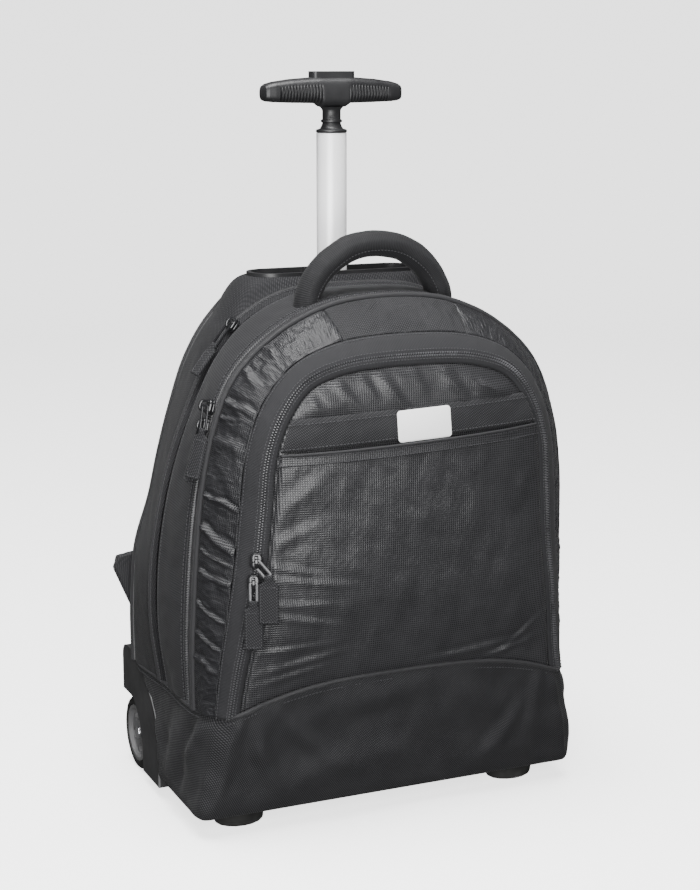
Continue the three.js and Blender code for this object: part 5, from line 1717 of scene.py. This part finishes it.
def pull_frame(zip_name, station):
    """Where a slider sits: its place, and its side, up and outward directions."""
    s, below = np.array(station), np.array(station - PULL_HANG)
    if zip_name == "rear":
        at, out = cloth("rear", "main", REAR_ZIP_Y, s, 2.2), -inward("rear", below)
    elif zip_name == "main":
        middle = MAIN_ZIP_Y + PIPING_RADIUS + CLEARANCE + MAIN_TAPE_WIDTH / 2
        at, out = cloth("rear", "main", middle, s), -inward("main", below)
    else:
        at, out = arch("pocket", s), inward("pocket", s)
        out[1] = 2.5
        out = -unit(out)
    side = unit(np.cross([0, 0, 1.0], out))
    return at, side, np.cross(out, side), out


def turned(first, second, degrees):
    """Two directions turned together, the first towards the second."""
    c, s = math.cos(math.radians(degrees)), math.sin(math.radians(degrees))
    return first * c + second * s, second * c - first * s


def placed(origin, side, up, out):
    """Turns flat x, y and z into points from an origin and three directions."""
    return lambda x, y, z: origin + x[:, None] * side + y[:, None] * up + z[:, None] * out


def pull(name):
    zip_name, station, link_tilt, link, link_wide, tilt, tab, wide, turn, stand = PULLS[name]
    at, side, up, straight = pull_frame(zip_name, station)
    top = SLIDER_LIFT + 4.6 + stand
    pull_slider(name, at, side, up, straight, top)
    out, side = turned(straight, side, turn)
    link_side, link_up = turned(side, up, link_tilt)
    tab_side, tab_up = turned(side, up, tilt)
    start = at + (top - 0.6) * unit(out + straight)
    pull_link(name, start, link_side, link_up, out, link, link_wide, zip_name == "pocket")
    low = start - link_up * (link - 3.0)
    pull_tab(name, low, tab_side, tab_up, out, tab, wide, link_wide)


def pull_slider(name, at, side, up, out, top):
    """The slider's two plates and the bridge over them."""
    slider = Builder()
    body = lambda inset: rounded_outline(10.5, 13, 4.2, inset)
    place = placed(at, side, up, out)
    plate(slider, body, SLIDER_LIFT - 2.4, SLIDER_LIFT - 0.4, 0.6, place)
    plate(slider, body, SLIDER_LIFT, SLIDER_LIFT + 2.8, 1.3, place)
    foot = SLIDER_LIFT + 1.6
    bridge = [(4.4, foot), (4.2, top), (1.6, top + 1.3), (-1.4, top + 1.2), (-3.6, top - 0.4), (-3.8, foot)]
    bridge = catmull(bridge, np.linspace(0, 1, 22))
    path = at + bridge[:, :1] * up + bridge[:, 1:] * out
    sweep(slider, path, side, rounded_outline(2.0, 3.2, 0.7, corner=3))
    faces_out(slider, at + SLIDER_LIFT * out)
    shape = mesh_object(name + "_slider", slider, LOOKS["black_metal"], smooth_angle=35)
    labelled(shape, [name], "pull_metal")


def pull_link(name, start, side, up, out, length, width, flat):
    """A frame that hangs from the slider's bridge, with broad grey bars or thin black ones."""
    bar = 2.6 if flat else 1.8
    ring = rounded_outline(width - bar, length - bar, 1.2) - [0, length / 2 - 2.0]
    ring = np.vstack([ring, ring[:1]])
    path = start + ring[:, :1] * side + ring[:, 1:] * up
    bars = Builder()
    sweep(bars, path, out, rounded_outline(bar, 1.6, 0.5, corner=3))
    look = LOOKS["grey_metal"] if flat else LOOKS["black_metal"]
    shape = mesh_object(name + "_link", faces_out(bars, path.mean(0)), look, smooth_angle=35)
    labelled(shape, slot="pull_metal")


def pull_tab(name, low, side, up, out, length, width, link_width):
    """The woven tab, folded through the link's lower end and stitched."""
    place = placed(low, side, up, out)
    rows = np.linspace(1.5, 1.5 - length, 60)
    across = np.linspace(-1, 1, 15)
    narrow = 1 - (1 - (link_width - 1.0) / width) * smooth((rows + 7) / 4)
    bulge = 0.5 * np.exp(-(((rows + 1) / 2.5) ** 2))
    edge = (1 - np.abs(across[None]) ** 6) ** 0.5
    ends = smooth((rows[0] + 0.4 - rows) / 1.2) * smooth((rows - rows[-1] + 0.4) / 1.2)
    thick = 1.6 * (0.25 + 0.75 * edge * ends[:, None]) + bulge[:, None]
    x = across[None] * width / 2 * narrow[:, None]
    y = rows[:, None] + 0 * x
    outer, inner = np.stack([x, y, thick], -1), np.stack([x, y, -thick], -1)[:, ::-1]
    grid = np.concatenate([outer, inner], 1)
    points = place(*grid.reshape(-1, 3).T)
    woven = Builder()
    woven.rings(points.reshape(grid.shape), grid[..., :2])
    faces_out(woven, low - up * length / 2)
    shape = mesh_object(name + "_woven_tab", woven, LOOKS["tab"], smooth_angle=60)
    labelled(shape, [name + "_tab"], "webbing")
    loop = rounded_outline(width - 3.6, length - 12, 1.0, corner=3) - [0, length / 2 + 2.5]
    loop = np.vstack([loop, loop[:1]])
    path = place(loop[:, 0], loop[:, 1], np.full(len(loop), 1.65))
    thread(name + "_tab_stitches", "webbing", (path, out, 2.4, 1.6, 0.28))


def build():
    rear_gusset()
    rear_zip()
    main_gusset()
    main_zip()
    front_gusset()
    pocket_zip()
    pocket_face()
    slip_pocket()
    pocket_band()
    label()
    boot()
    back_panel()
    carry_handle()
    sliding_handle()
    for side, name in ((-1, "left"), (1, "right")):
        straps(side, name)
        wheel(side, name)
    for name in PULLS:
        pull(name)


# Camera, floor and light

CAMERA_AZIMUTH = -23.9
CAMERA_ELEVATION = 11.8
CAMERA_TARGET = (-0.0074, -0.00806, 0.3099)
CAMERA_DISTANCE = 1.6057
CAMERA_LENS = 74.53
# The floor is round and bends up all round, so that it is pale behind the bag in every view.
FLOOR_REACH = 4.0
FLOOR_BEND = 1.2
FLOOR_RISE = 4.5
FLOOR_GLOW = 2.0
WORLD_GLOW = 0.14
# Soft lights: place, target, size and power.
LIGHTS = {
    "front": ((-0.5, -1.15, 0.5), (-0.1, 0, 0.4), (0.75, 0.9), 30),
    "top": ((-0.3, -0.3, 2.3), (0, 0, 0.3), (1.6, 1.4), 130),
}


def camera():
    data = bpy.data.cameras.new("camera")
    data.lens = CAMERA_LENS
    data.sensor_width = 36
    shape = bpy.data.objects.new("camera", data)
    bpy.context.scene.collection.objects.link(shape)
    a, e = math.radians(CAMERA_AZIMUTH), math.radians(CAMERA_ELEVATION)
    back = Vector((math.sin(a) * math.cos(e), -math.cos(a) * math.cos(e), math.sin(e)))
    shape.location = Vector(CAMERA_TARGET) + back * CAMERA_DISTANCE
    shape.rotation_mode = "QUATERNION"
    shape.rotation_quaternion = (-back).to_track_quat("-Z", "Y")
    bpy.context.scene.camera = shape


def area_light(name, place, target, size, power):
    data = bpy.data.lights.new(name, "AREA")
    data.shape = "RECTANGLE"
    data.size, data.size_y = size
    data.energy = power
    shape = bpy.data.objects.new(name, data)
    shape.location = place
    shape.visible_camera = False
    shape.rotation_mode = "QUATERNION"
    shape.rotation_quaternion = (Vector(target) - Vector(place)).to_track_quat("-Z", "Y")
    bpy.context.scene.collection.objects.link(shape)


def stage():
    turn = np.linspace(0, math.pi / 2, 12)
    profile = [(0.01, 0.0), (1.0, 0.0), (FLOOR_REACH - FLOOR_BEND, 0.0)]
    for k in turn[1:]:
        profile.append((FLOOR_REACH - FLOOR_BEND * (1 - math.sin(k)), FLOOR_BEND * (1 - math.cos(k))))
    profile += [(FLOOR_REACH, FLOOR_RISE)]
    angle = np.linspace(0, 2 * math.pi, 96, endpoint=False)
    points = [(r * math.cos(k), r * math.sin(k), z) for r, z in profile for k in angle]
    mesh = bpy.data.meshes.new("floor")
    mesh.from_pydata(points, [], grid_faces(len(profile), 96, True) + [tuple(range(96))])
    mesh.polygons.foreach_set("use_smooth", [True] * len(mesh.polygons))
    look = Look("floor", 0.7, Specular_IOR_Level=0.2)
    look.colour(look.noise(look.solid_place(), 300, 2), (0.88, 0.88, 0.88), (0.9, 0.9, 0.9))
    look.shader.inputs["Emission Color"].default_value = (1, 1, 1, 1)
    look.shader.inputs["Emission Strength"].default_value = FLOOR_GLOW
    mesh.materials.append(look.material)
    floor = bpy.data.objects.new("floor", mesh)
    # The pale floor lights and mirrors nothing, so the black cloth keeps its depth.
    floor.visible_diffuse = False
    floor.visible_glossy = False
    bpy.context.scene.collection.objects.link(floor)
    floor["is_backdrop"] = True
    world = bpy.data.worlds.new("world")
    world.use_nodes = True
    world.node_tree.nodes["Background"].inputs["Color"].default_value = (1, 1, 1, 1)
    world.node_tree.nodes["Background"].inputs["Strength"].default_value = WORLD_GLOW
    bpy.context.scene.world = world
    for name, (place, target, size, power) in LIGHTS.items():
        area_light(name, place, target, size, power)


camera()
build()
stage()

boxes = {"cad": cad_box, "visual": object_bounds()}
{key: [list(corner) for corner in box] for key, box in boxes.items()}
